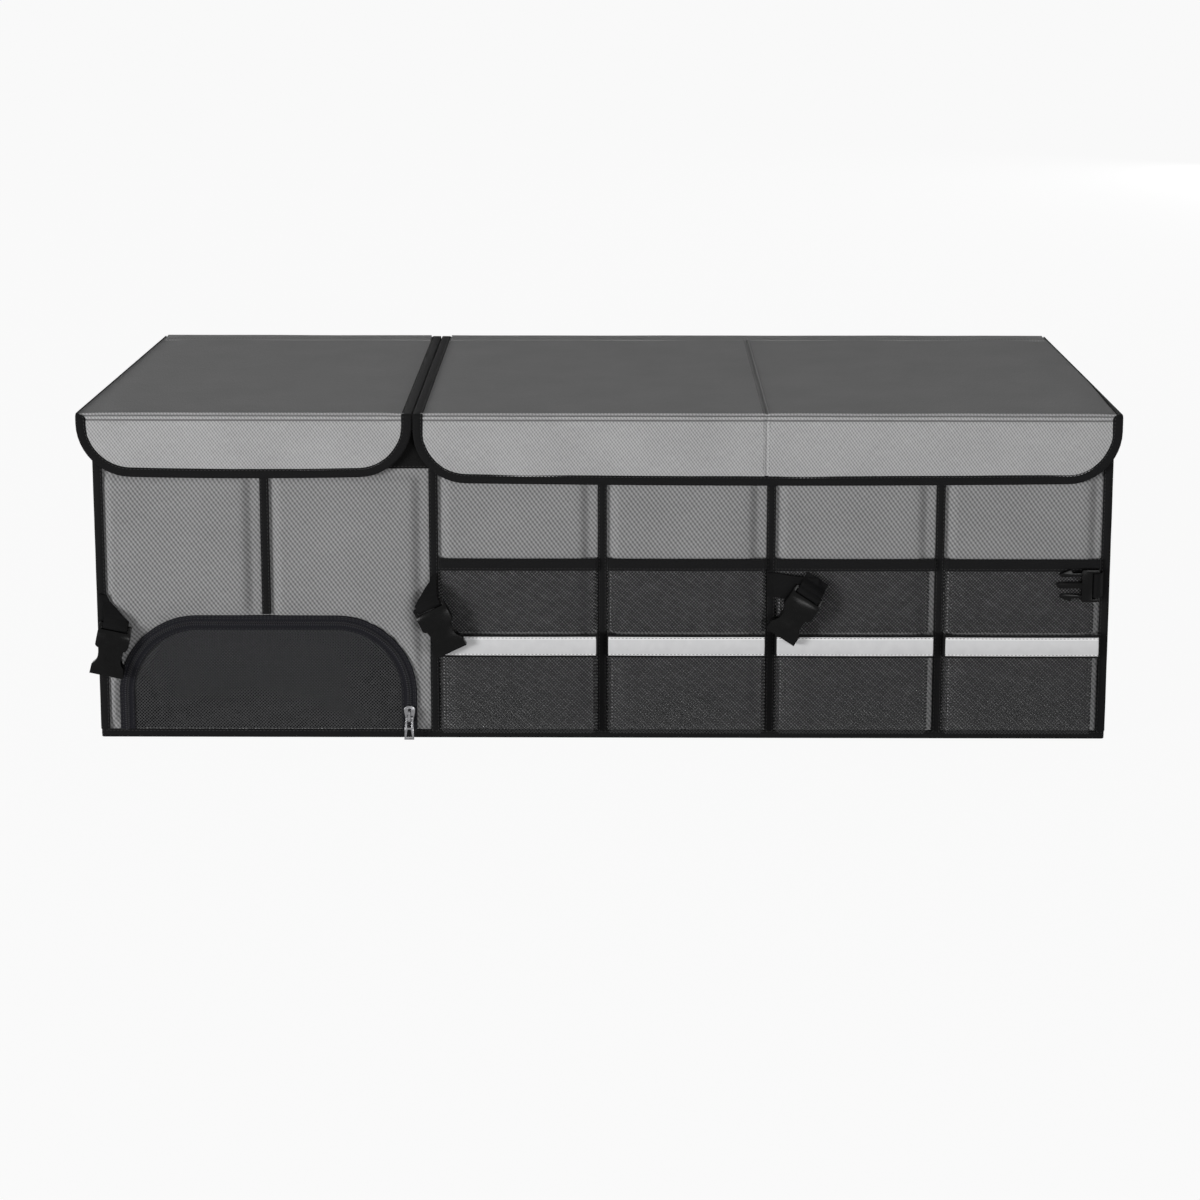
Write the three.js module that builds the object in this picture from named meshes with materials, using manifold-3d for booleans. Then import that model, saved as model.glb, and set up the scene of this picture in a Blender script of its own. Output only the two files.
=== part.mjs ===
// Car trunk organizer: a cloth box over boards, with two lids, a zipped shoe bay and eight mesh pockets.
// Millimetres, X along the length, Y from front to back, Z up from the middle of the underside.
import * as THREE from "three";
import { mergeVertices } from "three/addons/utils/BufferGeometryUtils.js";
import Module from "manifold-3d";

const wasm = await Module();
wasm.setup();

// Box, measured over its cloth walls
const LENGTH = 900;
const DEPTH = 400;
const HEIGHT = 292;
const WALL = 4;
const FLOOR = 4;
const PANELS = 6;
const SHOE_BAY_PANELS = 2;
const DIVIDER_PANELS = 4;
// Clearance between two layers of cloth, and between loose boards and the walls
const LAYER_GAP = 0.3;
const BOARD_GAP = 0.5;

// Boards inside the cloth show as low pads with sloping edges
const PAD_RISE = 2;
const SIDE_PAD_RISE = 1.2;
const PAD_MARGIN = 6;
const PAD_SLOPE = 8;
const PAD_BASE_MARGIN = 4;

// Tapes and bindings
const TAPE_WIDTH = 8;
const TAPE_THICKNESS = 1.5;
const CORNER_WIDTH = 9;
const HEM_HEIGHT = 8;
const HEM_THICKNESS = 1.2;
const HEM_LIFT = 0.4;
const RIM_DROP = 8;
const RIM_THICKNESS = 1.2;

// Touch-fastener bands under the lids' flaps
const LOOP_BAND_DROP = 44;
const LOOP_BAND_THICKNESS = 1;
const HOOK_STRIP_HEIGHT = 30;
const HOOK_STRIP_INSET = 40;
const HOOK_LOOP_GAP = 0.5;

// Loose boards
const BASE_BOARD = 3;
const DIVIDER_THICKNESS = 3;
const DIVIDER_DROP = 8;
const SHELF_TOP = 125;
const SHELF_THICKNESS = 2.5;

// Mesh pockets
const POCKET_ROOM = 4.8;
const MESH_THICKNESS = 0.8;
const POCKET_BINDING_THICKNESS = 1.1;
const POCKET_SIDE_SLOPE = 6;
const POCKET_PINCH = 1;
const UPPER_POCKET_TOP = 157;
const UPPER_BINDING_HEIGHT = 11;
const LOWER_POCKET_BOTTOM = 8.6;
const LOWER_POCKET_TOP = 79;
const LOWER_TAPE_HEIGHT = 21;
const LOWER_TAPE_THICKNESS = 0.6;
const STRIP_BORDER = 2;
const STRIP_THICKNESS = 0.4;
const STRIP_GAP = 0.1;
const POCKET_FLOOR = 1;

// Zipped door of the shoe bay
const ARCH_WIDTH = 267;
const ARCH_TOP = 114;
const ARCH_RADIUS = 72;
const ZIP_HALF_WIDTH = 6.3;
const ZIP_PARTING = 0.4;
const ZIP_THICKNESS = 1.8;
const DOOR_HOLE_INSET = 4;
const ARCH_CLEARANCE = 1.5;
const DOOR_LIFT = 0.3;

// Zip slider and its pull
const SLIDER_HEIGHT = 24;
const SLIDER_LENGTH = 14;
const SLIDER_WIDTH = 10;
const SLIDER_NOSE = 6.5;
const SLIDER_PLATE = 1.6;
const SLIDER_POST_WIDTH = 2.2;
const SLIDER_POST_LENGTH = 5.5;
const SLIDER_SLOT_PLAY = 2.4;
const CROWN_WIDTH = 2.4;
const CROWN_WIRE = 1.3;
const CROWN_RISE = 5.6;
const CROWN_LOW_INSET = 0.8;
const CROWN_TOP_INSET = 2;
const PULL_BAR = 0.9;
const PULL_THICKNESS = 1.5;
const PULL_STAND_OFF = 9.6;
const PULL_END = 2;
const PULL_TOP_WIDTH = 6.4;
const PULL_END_WIDTH = 9;
const PULL_FRAME = 1.7;
const PULL_EYE = 7;
const PULL_PLAY = 0.6;
const PULL_NECK = 0.5;
const PULL_TAPER = 0.4;

// Lids
const LID_THICKNESS = 4.5;
const LID_LIFT = 0.5;
const LID_PARTING = 1;
const LID_PARTING_OFFSET = 17.5;
const LID_LEFT_OVERHANG = 14;
const LID_RIGHT_OVERHANG = 7.5;
const LID_BACK_OVERHANG = 2;
const LID_BINDING = 9;
const LID_BACK_BINDING = 2.5;
const LID_BINDING_PROUD = 0.7;
const FLAP_THICKNESS = 3.6;
const FLAP_CLEARANCE = 1;
const FLAP_DROP_LEFT = 40;
const FLAP_DROP_RIGHT = 46;
const FLAP_CORNER = 38;
const FOLD_RADIUS = 3;
const LID_SEAM_OFFSET = 5;
const SEAM_WIDTH = 2;
const SEAM_DEPTH = 1;

// Side-release buckles
const WEBBING_WIDTH = 22;
const WEBBING_THICKNESS = 1.5;
const BUCKLE_WIDTH = 29;
const BAR_RADIUS = 2;
const BAR_GAP = 0.4;
const BAR_RAIL = 2.6;
const SOCKET_LENGTH = 46;
const SOCKET_THICKNESS = 9;
const SOCKET_WAIST = 22.5;
const SOCKET_WINDOW_TOP = 20;
const SOCKET_WINDOW_LENGTH = 13;
const SOCKET_WALL = 1.8;
const SOCKET_CAVITY_WIDTH = 24;
const SOCKET_CORNER = 1;
const SOCKET_GRIP_CURVE = 4;
const SOCKET_SHOULDER = 8;
const SOCKET_FLARE = 0.5;
const PLUG_BASE_LENGTH = 9;
const PLUG_BASE_THICKNESS = 7;
const PLUG_ARM_THICKNESS = 4.4;
const PLUG_ARM_LENGTH = 20;
const PLUG_GUIDE_WIDTH = 5;
const PLUG_ARM_WIDTH = 3;
const PLUG_BARB = 3.4;
const PLUG_ARM_BOW = 1.5;
const PLUG_TIP_ROUND = 0.5;
const STRAP_ROOT_WIDTH = 7;
// Parts of the strap's drop at which it narrows, leaves the buckle's plane and lands on its tape
const STRAP_NARROWS = 0.25;
const STRAP_LEAVES = 0.45;
const STRAP_LANDS = 0.8;
const FOLD_REACH = 8;
const FOLD_DROP = 15;

// Buckles as they hang: the bar's distance from a wall's end or panel line, its depth below the walls' top,
// its distance in front of the wall, its lean in degrees, and the strap's sewn end across and up from the bar
const LEFT_END_HANG = { across: 16, drop: 186, standOff: 10, lean: 12, endX: -11.5, endZ: 28 };
const BAY_HANG = { across: -4, drop: 164, standOff: 19.5, lean: -26, endX: 4, endZ: 24 };
const MIDDLE_HANG = { across: 33, drop: 153, standOff: 19.5, lean: 34, endX: -33, endZ: 5 };
const RIGHT_END_HANG = { across: -12, drop: 146, standOff: 13, lean: 90, endX: 9, endZ: 0 };

// Carrying handles on the ends
const HANDLE_WIDTH = 25;
const HANDLE_THICKNESS = 2;
const HANDLE_SPAN = 190;
const HANDLE_FOOT = 26;
const HANDLE_BOW = 20;
const HANDLE_HEIGHT = 215;

// Places that follow from the sizes
const LEFT = -LENGTH / 2;
const RIGHT = LENGTH / 2;
const FRONT = -DEPTH / 2;
const BACK = DEPTH / 2;
const PANEL = LENGTH / PANELS;
const BAY_X = LEFT + SHOE_BAY_PANELS * PANEL;
const DIVIDER_X = LEFT + DIVIDER_PANELS * PANEL;
const TRIM_BOTTOM = HEM_HEIGHT + LAYER_GAP;
const TAPE_BACK = FRONT - 2 * LAYER_GAP - POCKET_BINDING_THICKNESS;
const TAPE_FRONT = TAPE_BACK - TAPE_THICKNESS;
const RIM_TOP = HEIGHT + RIM_THICKNESS;
const LID_BOTTOM = RIM_TOP + LID_LIFT;
const LID_TOP = LID_BOTTOM + LID_THICKNESS;
const LOOP_BAND_BOTTOM = HEIGHT - LOOP_BAND_DROP;
const FLAP_BACK = TAPE_FRONT - FLAP_CLEARANCE;
const FLAP_FRONT = FLAP_BACK - FLAP_THICKNESS;

const cloth = (color, roughness = 0.95) => new THREE.MeshStandardMaterial({ color, roughness, metalness: 0 });
const GREY_CLOTH = cloth(0x848484);
const LID_CLOTH = cloth(0x7c7c7c);
const BLACK_TAPE = cloth(0x1b1b1c, 0.85);
const BLACK_MESH = cloth(0x3d3d3e, 0.8);
const LINING = cloth(0x2a2a2b);
const REFLECTOR = new THREE.MeshStandardMaterial({ color: 0xc5c5c5, roughness: 0.35, metalness: 0.1 });
const BUCKLE_PLASTIC = new THREE.MeshStandardMaterial({ color: 0x141414, roughness: 0.3, metalness: 0 });
const ZIP_METAL = new THREE.MeshStandardMaterial({ color: 0xa8a8aa, roughness: 0.3, metalness: 1 });

const organizer = new THREE.Group();

// A closed geometry as a solid that can be joined and cut
function solid(geometry) {
  const bare = geometry.clone();
  bare.deleteAttribute("normal");
  bare.deleteAttribute("uv");
  const merged = mergeVertices(bare, 1e-4);
  const vertProperties = new Float32Array(merged.attributes.position.array);
  const triVerts = new Uint32Array(merged.index.array);
  return new wasm.Manifold(new wasm.Mesh({ numProp: 3, vertProperties, triVerts }));
}

// A solid back as a geometry
function surface(made) {
  const cut = made.getMesh();
  const geometry = new THREE.BufferGeometry();
  geometry.setAttribute("position", new THREE.BufferAttribute(new Float32Array(cut.vertProperties), 3));
  geometry.setIndex(new THREE.BufferAttribute(new Uint32Array(cut.triVerts), 1));
  return geometry;
}

function place(name, geometry, material, parent = organizer) {
  const mesh = new THREE.Mesh(geometry, material);
  mesh.name = name;
  parent.add(mesh);
  return mesh;
}

function block(x0, x1, y0, y1, z0, z1) {
  const box = new THREE.BoxGeometry(x1 - x0, y1 - y0, z1 - z0);
  return box.translate((x0 + x1) / 2, (y0 + y1) / 2, (z0 + z1) / 2);
}

const ARCH_SEGMENTS = 12;
const FLAP_SEGMENTS = 7;
const BAR_SEGMENTS = 12;
const EYE_SEGMENTS = 16;

const extrude = (shape, depth, curveSegments) =>
  new THREE.ExtrudeGeometry(shape, { depth, bevelEnabled: false, curveSegments });

// Plan outline drawn in X and Y, raised from z0 to z1
function plan(shape, z0, z1, curveSegments = 8) {
  return extrude(shape, z1 - z0, curveSegments).translate(0, 0, z0);
}

// Front outline drawn in X and Z, running from y0 back to y1
function frontal(shape, y0, y1, curveSegments = 8) {
  return extrude(shape, y1 - y0, curveSegments).rotateX(Math.PI / 2).translate(0, y1, 0);
}

// Side profile drawn in Y and Z, running from x0 to x1
function profile(shape, x0, x1, curveSegments = 8) {
  const turn = new THREE.Matrix4().makeBasis(
    new THREE.Vector3(0, 1, 0),
    new THREE.Vector3(0, 0, 1),
    new THREE.Vector3(1, 0, 0),
  );
  return extrude(shape, x1 - x0, curveSegments).applyMatrix4(turn).translate(x0, 0, 0);
}

const outline = (...points) => new THREE.Shape(points.map(([a, b]) => new THREE.Vector2(a, b)));

// A low board pad standing out of a wall: direction is the wall's outward side along Y
function frontPad(x0, x1, z0, z1, wallY, direction) {
  const pad = block(x0, x1, 0, 1, z0, z1);
  const points = pad.attributes.position;
  for (let i = 0; i < points.count; i += 1) {
    const raised = points.getY(i) > 0.5;
    const slope = raised ? PAD_SLOPE : 0;
    points.setX(i, points.getX(i) + (points.getX(i) < (x0 + x1) / 2 ? slope : -slope));
    points.setZ(i, points.getZ(i) + (points.getZ(i) < (z0 + z1) / 2 ? slope : -slope));
    points.setY(i, raised ? PAD_RISE : -WALL / 2);
  }
  if (direction < 0) pad.rotateZ(Math.PI).translate(x0 + x1, 0, 0);
  return solid(pad.translate(0, wallY, 0));
}

// The same pad on an end wall: direction is the outward side along X
function sidePad(y0, y1, z0, z1, wallX, direction) {
  const pad = block(0, 1, y0, y1, z0, z1);
  const points = pad.attributes.position;
  for (let i = 0; i < points.count; i += 1) {
    const raised = points.getX(i) > 0.5;
    const slope = raised ? PAD_SLOPE : 0;
    points.setY(i, points.getY(i) + (points.getY(i) < (y0 + y1) / 2 ? slope : -slope));
    points.setZ(i, points.getZ(i) + (points.getZ(i) < (z0 + z1) / 2 ? slope : -slope));
    points.setX(i, raised ? SIDE_PAD_RISE : -WALL / 2);
  }
  if (direction < 0) pad.rotateZ(Math.PI).translate(0, y0 + y1, 0);
  return solid(pad.translate(wallX, 0, 0));
}

// Door opening: a flat-topped arch that stands on the hem
function arch(inset, bottom) {
  const middle = (LEFT + BAY_X) / 2;
  const half = ARCH_WIDTH / 2 - inset;
  const top = ARCH_TOP - inset;
  const radius = ARCH_RADIUS - inset;
  const shape = new THREE.Shape();
  shape.moveTo(middle - half, bottom);
  shape.lineTo(middle + half, bottom);
  shape.absarc(middle + half - radius, top - radius, radius, 0, Math.PI / 2, false);
  shape.absarc(middle - half + radius, top - radius, radius, Math.PI / 2, Math.PI, false);
  return shape;
}

// Cloth bottom and walls
place("bottom_panel", block(LEFT, RIGHT, FRONT, BACK, 0, FLOOR), BLACK_TAPE);

function longWall(name, firstPanel, lastPanel, outerY, direction) {
  const x0 = LEFT + firstPanel * PANEL;
  const x1 = LEFT + lastPanel * PANEL;
  const innerY = outerY - direction * WALL;
  let wall = solid(block(x0, x1, Math.min(outerY, innerY), Math.max(outerY, innerY), FLOOR, HEIGHT));
  for (let i = firstPanel; i < lastPanel; i += 1) {
    const inset = TAPE_WIDTH / 2 + PAD_MARGIN;
    const left = LEFT + i * PANEL + inset;
    const right = LEFT + (i + 1) * PANEL - inset;
    const top = LOOP_BAND_BOTTOM - PAD_BASE_MARGIN;
    wall = wall.add(frontPad(left, right, HEM_HEIGHT + PAD_BASE_MARGIN, top, outerY, direction));
  }
  if (direction < 0 && firstPanel === 0) {
    const seat = frontal(arch(-ARCH_CLEARANCE, TRIM_BOTTOM), FRONT - 2 * PAD_RISE, FRONT, ARCH_SEGMENTS);
    const holeShape = arch(DOOR_HOLE_INSET, TRIM_BOTTOM + LAYER_GAP);
    const hole = frontal(holeShape, FRONT - WALL, FRONT + 2 * WALL, ARCH_SEGMENTS);
    wall = wall.subtract(solid(seat)).subtract(solid(hole));
  }
  place(name, surface(wall), GREY_CLOTH);
}

longWall("front_wall_left", 0, SHOE_BAY_PANELS, FRONT, -1);
longWall("front_wall_right", SHOE_BAY_PANELS, PANELS, FRONT, -1);
longWall("back_wall_left", 0, SHOE_BAY_PANELS, BACK, 1);
longWall("back_wall_right", SHOE_BAY_PANELS, PANELS, BACK, 1);

// Each end wall folds along its middle, so it holds two boards
function endWall(name, outerX, direction) {
  const innerX = outerX - direction * WALL;
  const y0 = FRONT + WALL;
  const y1 = BACK - WALL;
  let wall = solid(block(Math.min(outerX, innerX), Math.max(outerX, innerX), y0, y1, FLOOR, HEIGHT));
  for (const [from, to] of [[y0, 0], [0, y1]]) {
    const near = from + CORNER_WIDTH + PAD_MARGIN;
    const far = to - CORNER_WIDTH - PAD_MARGIN;
    const top = HEIGHT - RIM_DROP - PAD_BASE_MARGIN;
    wall = wall.add(sidePad(near, far, HEM_HEIGHT + PAD_BASE_MARGIN, top, outerX, direction));
  }
  place(name, surface(wall), GREY_CLOTH);
}

endWall("end_wall_left", LEFT, -1);
endWall("end_wall_right", RIGHT, 1);

// Inside: sewn wall of the shoe bay, loose base boards, touch-fastened divider and the shelf over the shoes
const INNER_LEFT = LEFT + WALL + BOARD_GAP;
const INNER_RIGHT = RIGHT - WALL - BOARD_GAP;
const INNER_FRONT = FRONT + WALL + BOARD_GAP;
const INNER_BACK = BACK - WALL - BOARD_GAP;

place("bay_wall", block(BAY_X - WALL / 2, BAY_X + WALL / 2, FRONT + WALL, BACK - WALL, FLOOR, HEIGHT), LINING);

function baseBoard(name, x0, x1) {
  place(name, block(x0, x1, INNER_FRONT, INNER_BACK, FLOOR, FLOOR + BASE_BOARD), LINING);
}
baseBoard("base_board_left", INNER_LEFT, BAY_X - WALL / 2 - BOARD_GAP);
baseBoard("base_board_middle", BAY_X + WALL / 2 + BOARD_GAP, DIVIDER_X - DIVIDER_THICKNESS / 2 - BOARD_GAP);
baseBoard("base_board_right", DIVIDER_X + DIVIDER_THICKNESS / 2 + BOARD_GAP, INNER_RIGHT);

const dividerLeft = DIVIDER_X - DIVIDER_THICKNESS / 2;
const dividerRight = DIVIDER_X + DIVIDER_THICKNESS / 2;
const dividerTop = HEIGHT - DIVIDER_DROP;
place("divider", block(dividerLeft, dividerRight, INNER_FRONT, INNER_BACK, FLOOR, dividerTop), LINING);

const shelfRight = BAY_X - WALL / 2 - BOARD_GAP;
const shelfFoot = FLOOR + BASE_BOARD;
const shelfProfile = outline(
  [INNER_LEFT, shelfFoot],
  [INNER_LEFT + SHELF_THICKNESS, shelfFoot],
  [INNER_LEFT + SHELF_THICKNESS, SHELF_TOP - SHELF_THICKNESS],
  [shelfRight - SHELF_THICKNESS, SHELF_TOP - SHELF_THICKNESS],
  [shelfRight - SHELF_THICKNESS, shelfFoot],
  [shelfRight, shelfFoot],
  [shelfRight, SHELF_TOP],
  [INNER_LEFT, SHELF_TOP],
);
place("shoe_shelf", frontal(shelfProfile, INNER_FRONT, INNER_BACK), LINING);

// Hem binding round the foot and rim binding round the top, each one sewn ring
function ring(grow, thickness, z0, z1) {
  const gap = grow - thickness;
  const outer = solid(block(LEFT - grow, RIGHT + grow, FRONT - grow, BACK + grow, z0, z1));
  return outer.subtract(solid(block(LEFT - gap, RIGHT + gap, FRONT - gap, BACK + gap, z0 - 1, z1 + 1)));
}
const hemGrow = LAYER_GAP + HEM_THICKNESS;
place("hem_binding", surface(ring(hemGrow, HEM_THICKNESS, HEM_LIFT, HEM_HEIGHT)), BLACK_TAPE);

const rimGrow = LAYER_GAP + RIM_THICKNESS;
const rimCap = solid(block(LEFT - rimGrow, RIGHT + rimGrow, FRONT - rimGrow, BACK + rimGrow, HEIGHT, RIM_TOP));
const bayRimLeft = BAY_X - WALL / 2;
const bayRimRight = BAY_X + WALL / 2;
const capHoles = [[LEFT + WALL, bayRimLeft], [bayRimRight, RIGHT - WALL]].map(([x0, x1]) =>
  solid(block(x0, x1, FRONT + WALL, BACK - WALL, HEIGHT - 1, RIM_TOP + 1)));
const rimSkirt = ring(rimGrow, RIM_THICKNESS, HEIGHT - RIM_DROP, HEIGHT + RIM_THICKNESS / 2);
const rimBinding = capHoles.reduce((cap, hole) => cap.subtract(hole), rimCap).add(rimSkirt);
place("rim_binding", surface(rimBinding), BLACK_TAPE);

// Corner bindings: an angle of tape over each upright corner
for (const [side, sx] of [["left", -1], ["right", 1]]) {
  for (const [end, sy] of [["front", -1], ["back", 1]]) {
    const face = -TAPE_FRONT;
    const inner = -TAPE_BACK;
    const outerX = RIGHT + LAYER_GAP + TAPE_THICKNESS;
    const angle = outline(
      [sx * (RIGHT - CORNER_WIDTH), sy * inner],
      [sx * (RIGHT - CORNER_WIDTH), sy * face],
      [sx * outerX, sy * face],
      [sx * outerX, sy * (BACK - CORNER_WIDTH)],
      [sx * (RIGHT + LAYER_GAP), sy * (BACK - CORNER_WIDTH)],
      [sx * (RIGHT + LAYER_GAP), sy * inner],
    );
    const top = HEIGHT - RIM_DROP - LAYER_GAP;
    place(`corner_binding_${end}_${side}`, plan(angle, TRIM_BOTTOM, top), BLACK_TAPE);
  }
}

// Loop band along the front, which the flaps' hook strips close on
const loopTop = HEIGHT - RIM_DROP - LAYER_GAP;
const loopBack = FRONT - LAYER_GAP;
const loopFront = loopBack - LOOP_BAND_THICKNESS;
const loopEnd = RIGHT - CORNER_WIDTH - 2 * LAYER_GAP;
const loopBottom = LOOP_BAND_BOTTOM + LAYER_GAP;
place("front_loop_band", block(-loopEnd, loopEnd, loopFront, loopBack, loopBottom, loopTop), BLACK_TAPE);

// Upright tapes between the panels: on the wall above the pockets, over the pockets' pinched edges below
const POCKET_TOP = UPPER_POCKET_TOP + UPPER_BINDING_HEIGHT;
function uprightTape(name, x, bottom, overPockets) {
  const lap = overPockets ? POCKET_TOP + LAYER_GAP : bottom;
  const side = outline(
    [TAPE_FRONT, bottom],
    [TAPE_BACK, bottom],
    [TAPE_BACK, lap],
    [FRONT - LAYER_GAP, lap],
    [FRONT - LAYER_GAP, LOOP_BAND_BOTTOM],
    [TAPE_FRONT, LOOP_BAND_BOTTOM],
  );
  const plain = outline(
    [TAPE_FRONT, bottom],
    [FRONT - LAYER_GAP, bottom],
    [FRONT - LAYER_GAP, LOOP_BAND_BOTTOM],
    [TAPE_FRONT, LOOP_BAND_BOTTOM],
  );
  place(name, profile(overPockets ? side : plain, x - TAPE_WIDTH / 2, x + TAPE_WIDTH / 2), BLACK_TAPE);
}
uprightTape("tape_shoe_bay", LEFT + PANEL, ARCH_TOP + ARCH_CLEARANCE, false);
for (let i = SHOE_BAY_PANELS; i < PANELS; i += 1) {
  uprightTape(`tape_pockets_${i - SHOE_BAY_PANELS + 1}`, LEFT + i * PANEL, TRIM_BOTTOM, true);
}

// Pockets between the tapes: the ends of each one's cloth, and of the tray that stands off its panel
const pockets = Array.from({ length: PANELS - SHOE_BAY_PANELS }, (_, i) => {
  const start = BAY_X + i * PANEL;
  const first = i === 0;
  const last = i === PANELS - SHOE_BAY_PANELS - 1;
  return {
    from: start + (first ? LAYER_GAP - TAPE_WIDTH / 2 : LAYER_GAP / 2),
    left: start + TAPE_WIDTH / 2 + POCKET_PINCH,
    right: start + PANEL - (last ? CORNER_WIDTH : TAPE_WIDTH / 2) - POCKET_PINCH,
    to: start + PANEL - (last ? LAYER_GAP : LAYER_GAP / 2),
  };
});

// Cloth of neighbouring pockets seen from above: flat trays, pinched to the wall under each tape
function pocketRun(bays, pinchDepth, trayDepth, thickness) {
  const inner = [[bays[0].from, FRONT - pinchDepth]];
  for (const { left, right } of bays) {
    inner.push([left, FRONT - pinchDepth]);
    inner.push([left + POCKET_SIDE_SLOPE, FRONT - trayDepth]);
    inner.push([right - POCKET_SIDE_SLOPE, FRONT - trayDepth]);
    inner.push([right, FRONT - pinchDepth]);
  }
  inner.push([bays[bays.length - 1].to, FRONT - pinchDepth]);
  const outer = inner.map(([x, y]) => [x, y - thickness]).reverse();
  return outline(...inner, ...outer);
}

// Mesh of neighbouring pockets with the turned-in floor of each
function pocketMesh(bays, trayDepth, z0, z1) {
  const back = FRONT - PAD_RISE - LAYER_GAP;
  const front = FRONT - trayDepth - MESH_THICKNESS / 2;
  const run = solid(plan(pocketRun(bays, LAYER_GAP, trayDepth, MESH_THICKNESS), z0, z1));
  const floors = bays.map(({ left, right }) =>
    solid(block(left + POCKET_SIDE_SLOPE, right - POCKET_SIDE_SLOPE, front, back, z0, z0 + POCKET_FLOOR)));
  return floors.reduce((all, floor) => all.add(floor), run);
}

const lowerTapeTop = LOWER_POCKET_TOP + LOWER_TAPE_HEIGHT;
const upperBottom = lowerTapeTop + LAYER_GAP;
const upperDepth = PAD_RISE + POCKET_ROOM;
const lowerDepth = upperDepth + POCKET_BINDING_THICKNESS + POCKET_ROOM;
const upperMesh = pocketMesh(pockets, upperDepth, upperBottom, UPPER_POCKET_TOP - LAYER_GAP);
place("upper_pocket_mesh", surface(upperMesh), BLACK_MESH);
const bindingRun = pocketRun(pockets, LAYER_GAP, upperDepth, POCKET_BINDING_THICKNESS);
place("upper_pocket_binding", plan(bindingRun, UPPER_POCKET_TOP, POCKET_TOP), BLACK_TAPE);

// The lower pockets are cut one by one, each with its own top tape; one reflective strip runs over all four
pockets.forEach((pocket, i) => {
  const lowerMesh = pocketMesh([pocket], lowerDepth, LOWER_POCKET_BOTTOM, LOWER_POCKET_TOP - LAYER_GAP);
  place(`lower_pocket_mesh_${i + 1}`, surface(lowerMesh), BLACK_MESH);
  const tapeRun = pocketRun([pocket], LAYER_GAP, lowerDepth, LOWER_TAPE_THICKNESS);
  place(`lower_pocket_tape_${i + 1}`, plan(tapeRun, LOWER_POCKET_TOP, lowerTapeTop), BLACK_TAPE);
});
const stripLayer = LOWER_TAPE_THICKNESS + STRIP_GAP;
const stripRun = pocketRun(pockets, LAYER_GAP + stripLayer, lowerDepth + stripLayer, STRIP_THICKNESS);
const stripBottom = LOWER_POCKET_TOP + STRIP_BORDER;
const stripTop = lowerTapeTop - STRIP_BORDER;
place("reflective_strip", plan(stripRun, stripBottom, stripTop), REFLECTOR);

// Shoe bay door: zip tape halves along the arch, mesh inside them, hinged at the hem
const DOOR_AXIS_Y = FRONT - hemGrow - LAYER_GAP;
const DOOR_FRONT = DOOR_AXIS_Y - ZIP_THICKNESS;
const zipLine = ZIP_HALF_WIDTH + ZIP_PARTING / 2;
const innerHalf = ZIP_HALF_WIDTH + ZIP_PARTING;
const meshInset = innerHalf + ZIP_HALF_WIDTH + LAYER_GAP;
const sliderX = (LEFT + BAY_X) / 2 + ARCH_WIDTH / 2 - zipLine;
const slotHalf = SLIDER_POST_WIDTH / 2 + LAYER_GAP;
const slotLow = SLIDER_HEIGHT - SLIDER_POST_LENGTH / 2 - SLIDER_SLOT_PLAY;
const slotHigh = SLIDER_HEIGHT + SLIDER_POST_LENGTH / 2 + SLIDER_SLOT_PLAY;
const slotSides = [sliderX - slotHalf, sliderX + slotHalf];
const sliderSlot = solid(block(...slotSides, DOOR_FRONT - 1, FRONT, slotLow, slotHigh));

function archBand(from, to, y0, y1, bottom) {
  const outer = solid(frontal(arch(from, bottom), y0, y1, ARCH_SEGMENTS));
  return outer.subtract(solid(frontal(arch(to, bottom - 1), y0 - 1, y1 + 1, ARCH_SEGMENTS)));
}
const doorFoot = TRIM_BOTTOM + DOOR_LIFT;
const outerZip = archBand(0, ZIP_HALF_WIDTH, DOOR_FRONT, FRONT - LAYER_GAP, TRIM_BOTTOM + LAYER_GAP);
place("zip_tape_outer", surface(outerZip.subtract(sliderSlot)), BLACK_TAPE);
const innerZip = archBand(innerHalf, innerHalf + ZIP_HALF_WIDTH, DOOR_FRONT, DOOR_AXIS_Y, doorFoot);
place("zip_tape_inner", surface(innerZip.subtract(sliderSlot)), BLACK_TAPE);
const meshFront = DOOR_AXIS_Y - MESH_THICKNESS;
place("door_mesh", frontal(arch(meshInset, doorFoot), meshFront, DOOR_AXIS_Y, ARCH_SEGMENTS), BLACK_MESH);

// Zip slider: plates before and behind the coils, the post between them and the crown that the pull hangs in
const plateBack = DOOR_FRONT - LAYER_GAP;
const plateFront = plateBack - SLIDER_PLATE;
const rearBack = FRONT - LAYER_GAP / 2;
const rearFront = DOOR_AXIS_Y + LAYER_GAP / 2;
const sliderTop = SLIDER_HEIGHT + SLIDER_LENGTH / 2;
const sliderFoot = SLIDER_HEIGHT - SLIDER_LENGTH / 2;
const plateOutline = outline(
  [sliderX - SLIDER_NOSE / 2, sliderFoot],
  [sliderX + SLIDER_NOSE / 2, sliderFoot],
  [sliderX + SLIDER_WIDTH / 2, sliderTop - SLIDER_WIDTH / 2],
  [sliderX + SLIDER_WIDTH / 2, sliderTop - SLIDER_WIDTH / 5],
  [sliderX + SLIDER_WIDTH / 4, sliderTop],
  [sliderX - SLIDER_WIDTH / 4, sliderTop],
  [sliderX - SLIDER_WIDTH / 2, sliderTop - SLIDER_WIDTH / 5],
  [sliderX - SLIDER_WIDTH / 2, sliderTop - SLIDER_WIDTH / 2],
);
const postLow = SLIDER_HEIGHT - SLIDER_POST_LENGTH / 2;
const postHigh = SLIDER_HEIGHT + SLIDER_POST_LENGTH / 2;
const postLeft = sliderX - SLIDER_POST_WIDTH / 2;
const postRight = sliderX + SLIDER_POST_WIDTH / 2;
const crownLow = sliderFoot + CROWN_LOW_INSET;
const crownHigh = sliderTop - CROWN_TOP_INSET;
const crownFront = plateFront - CROWN_RISE;
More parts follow.
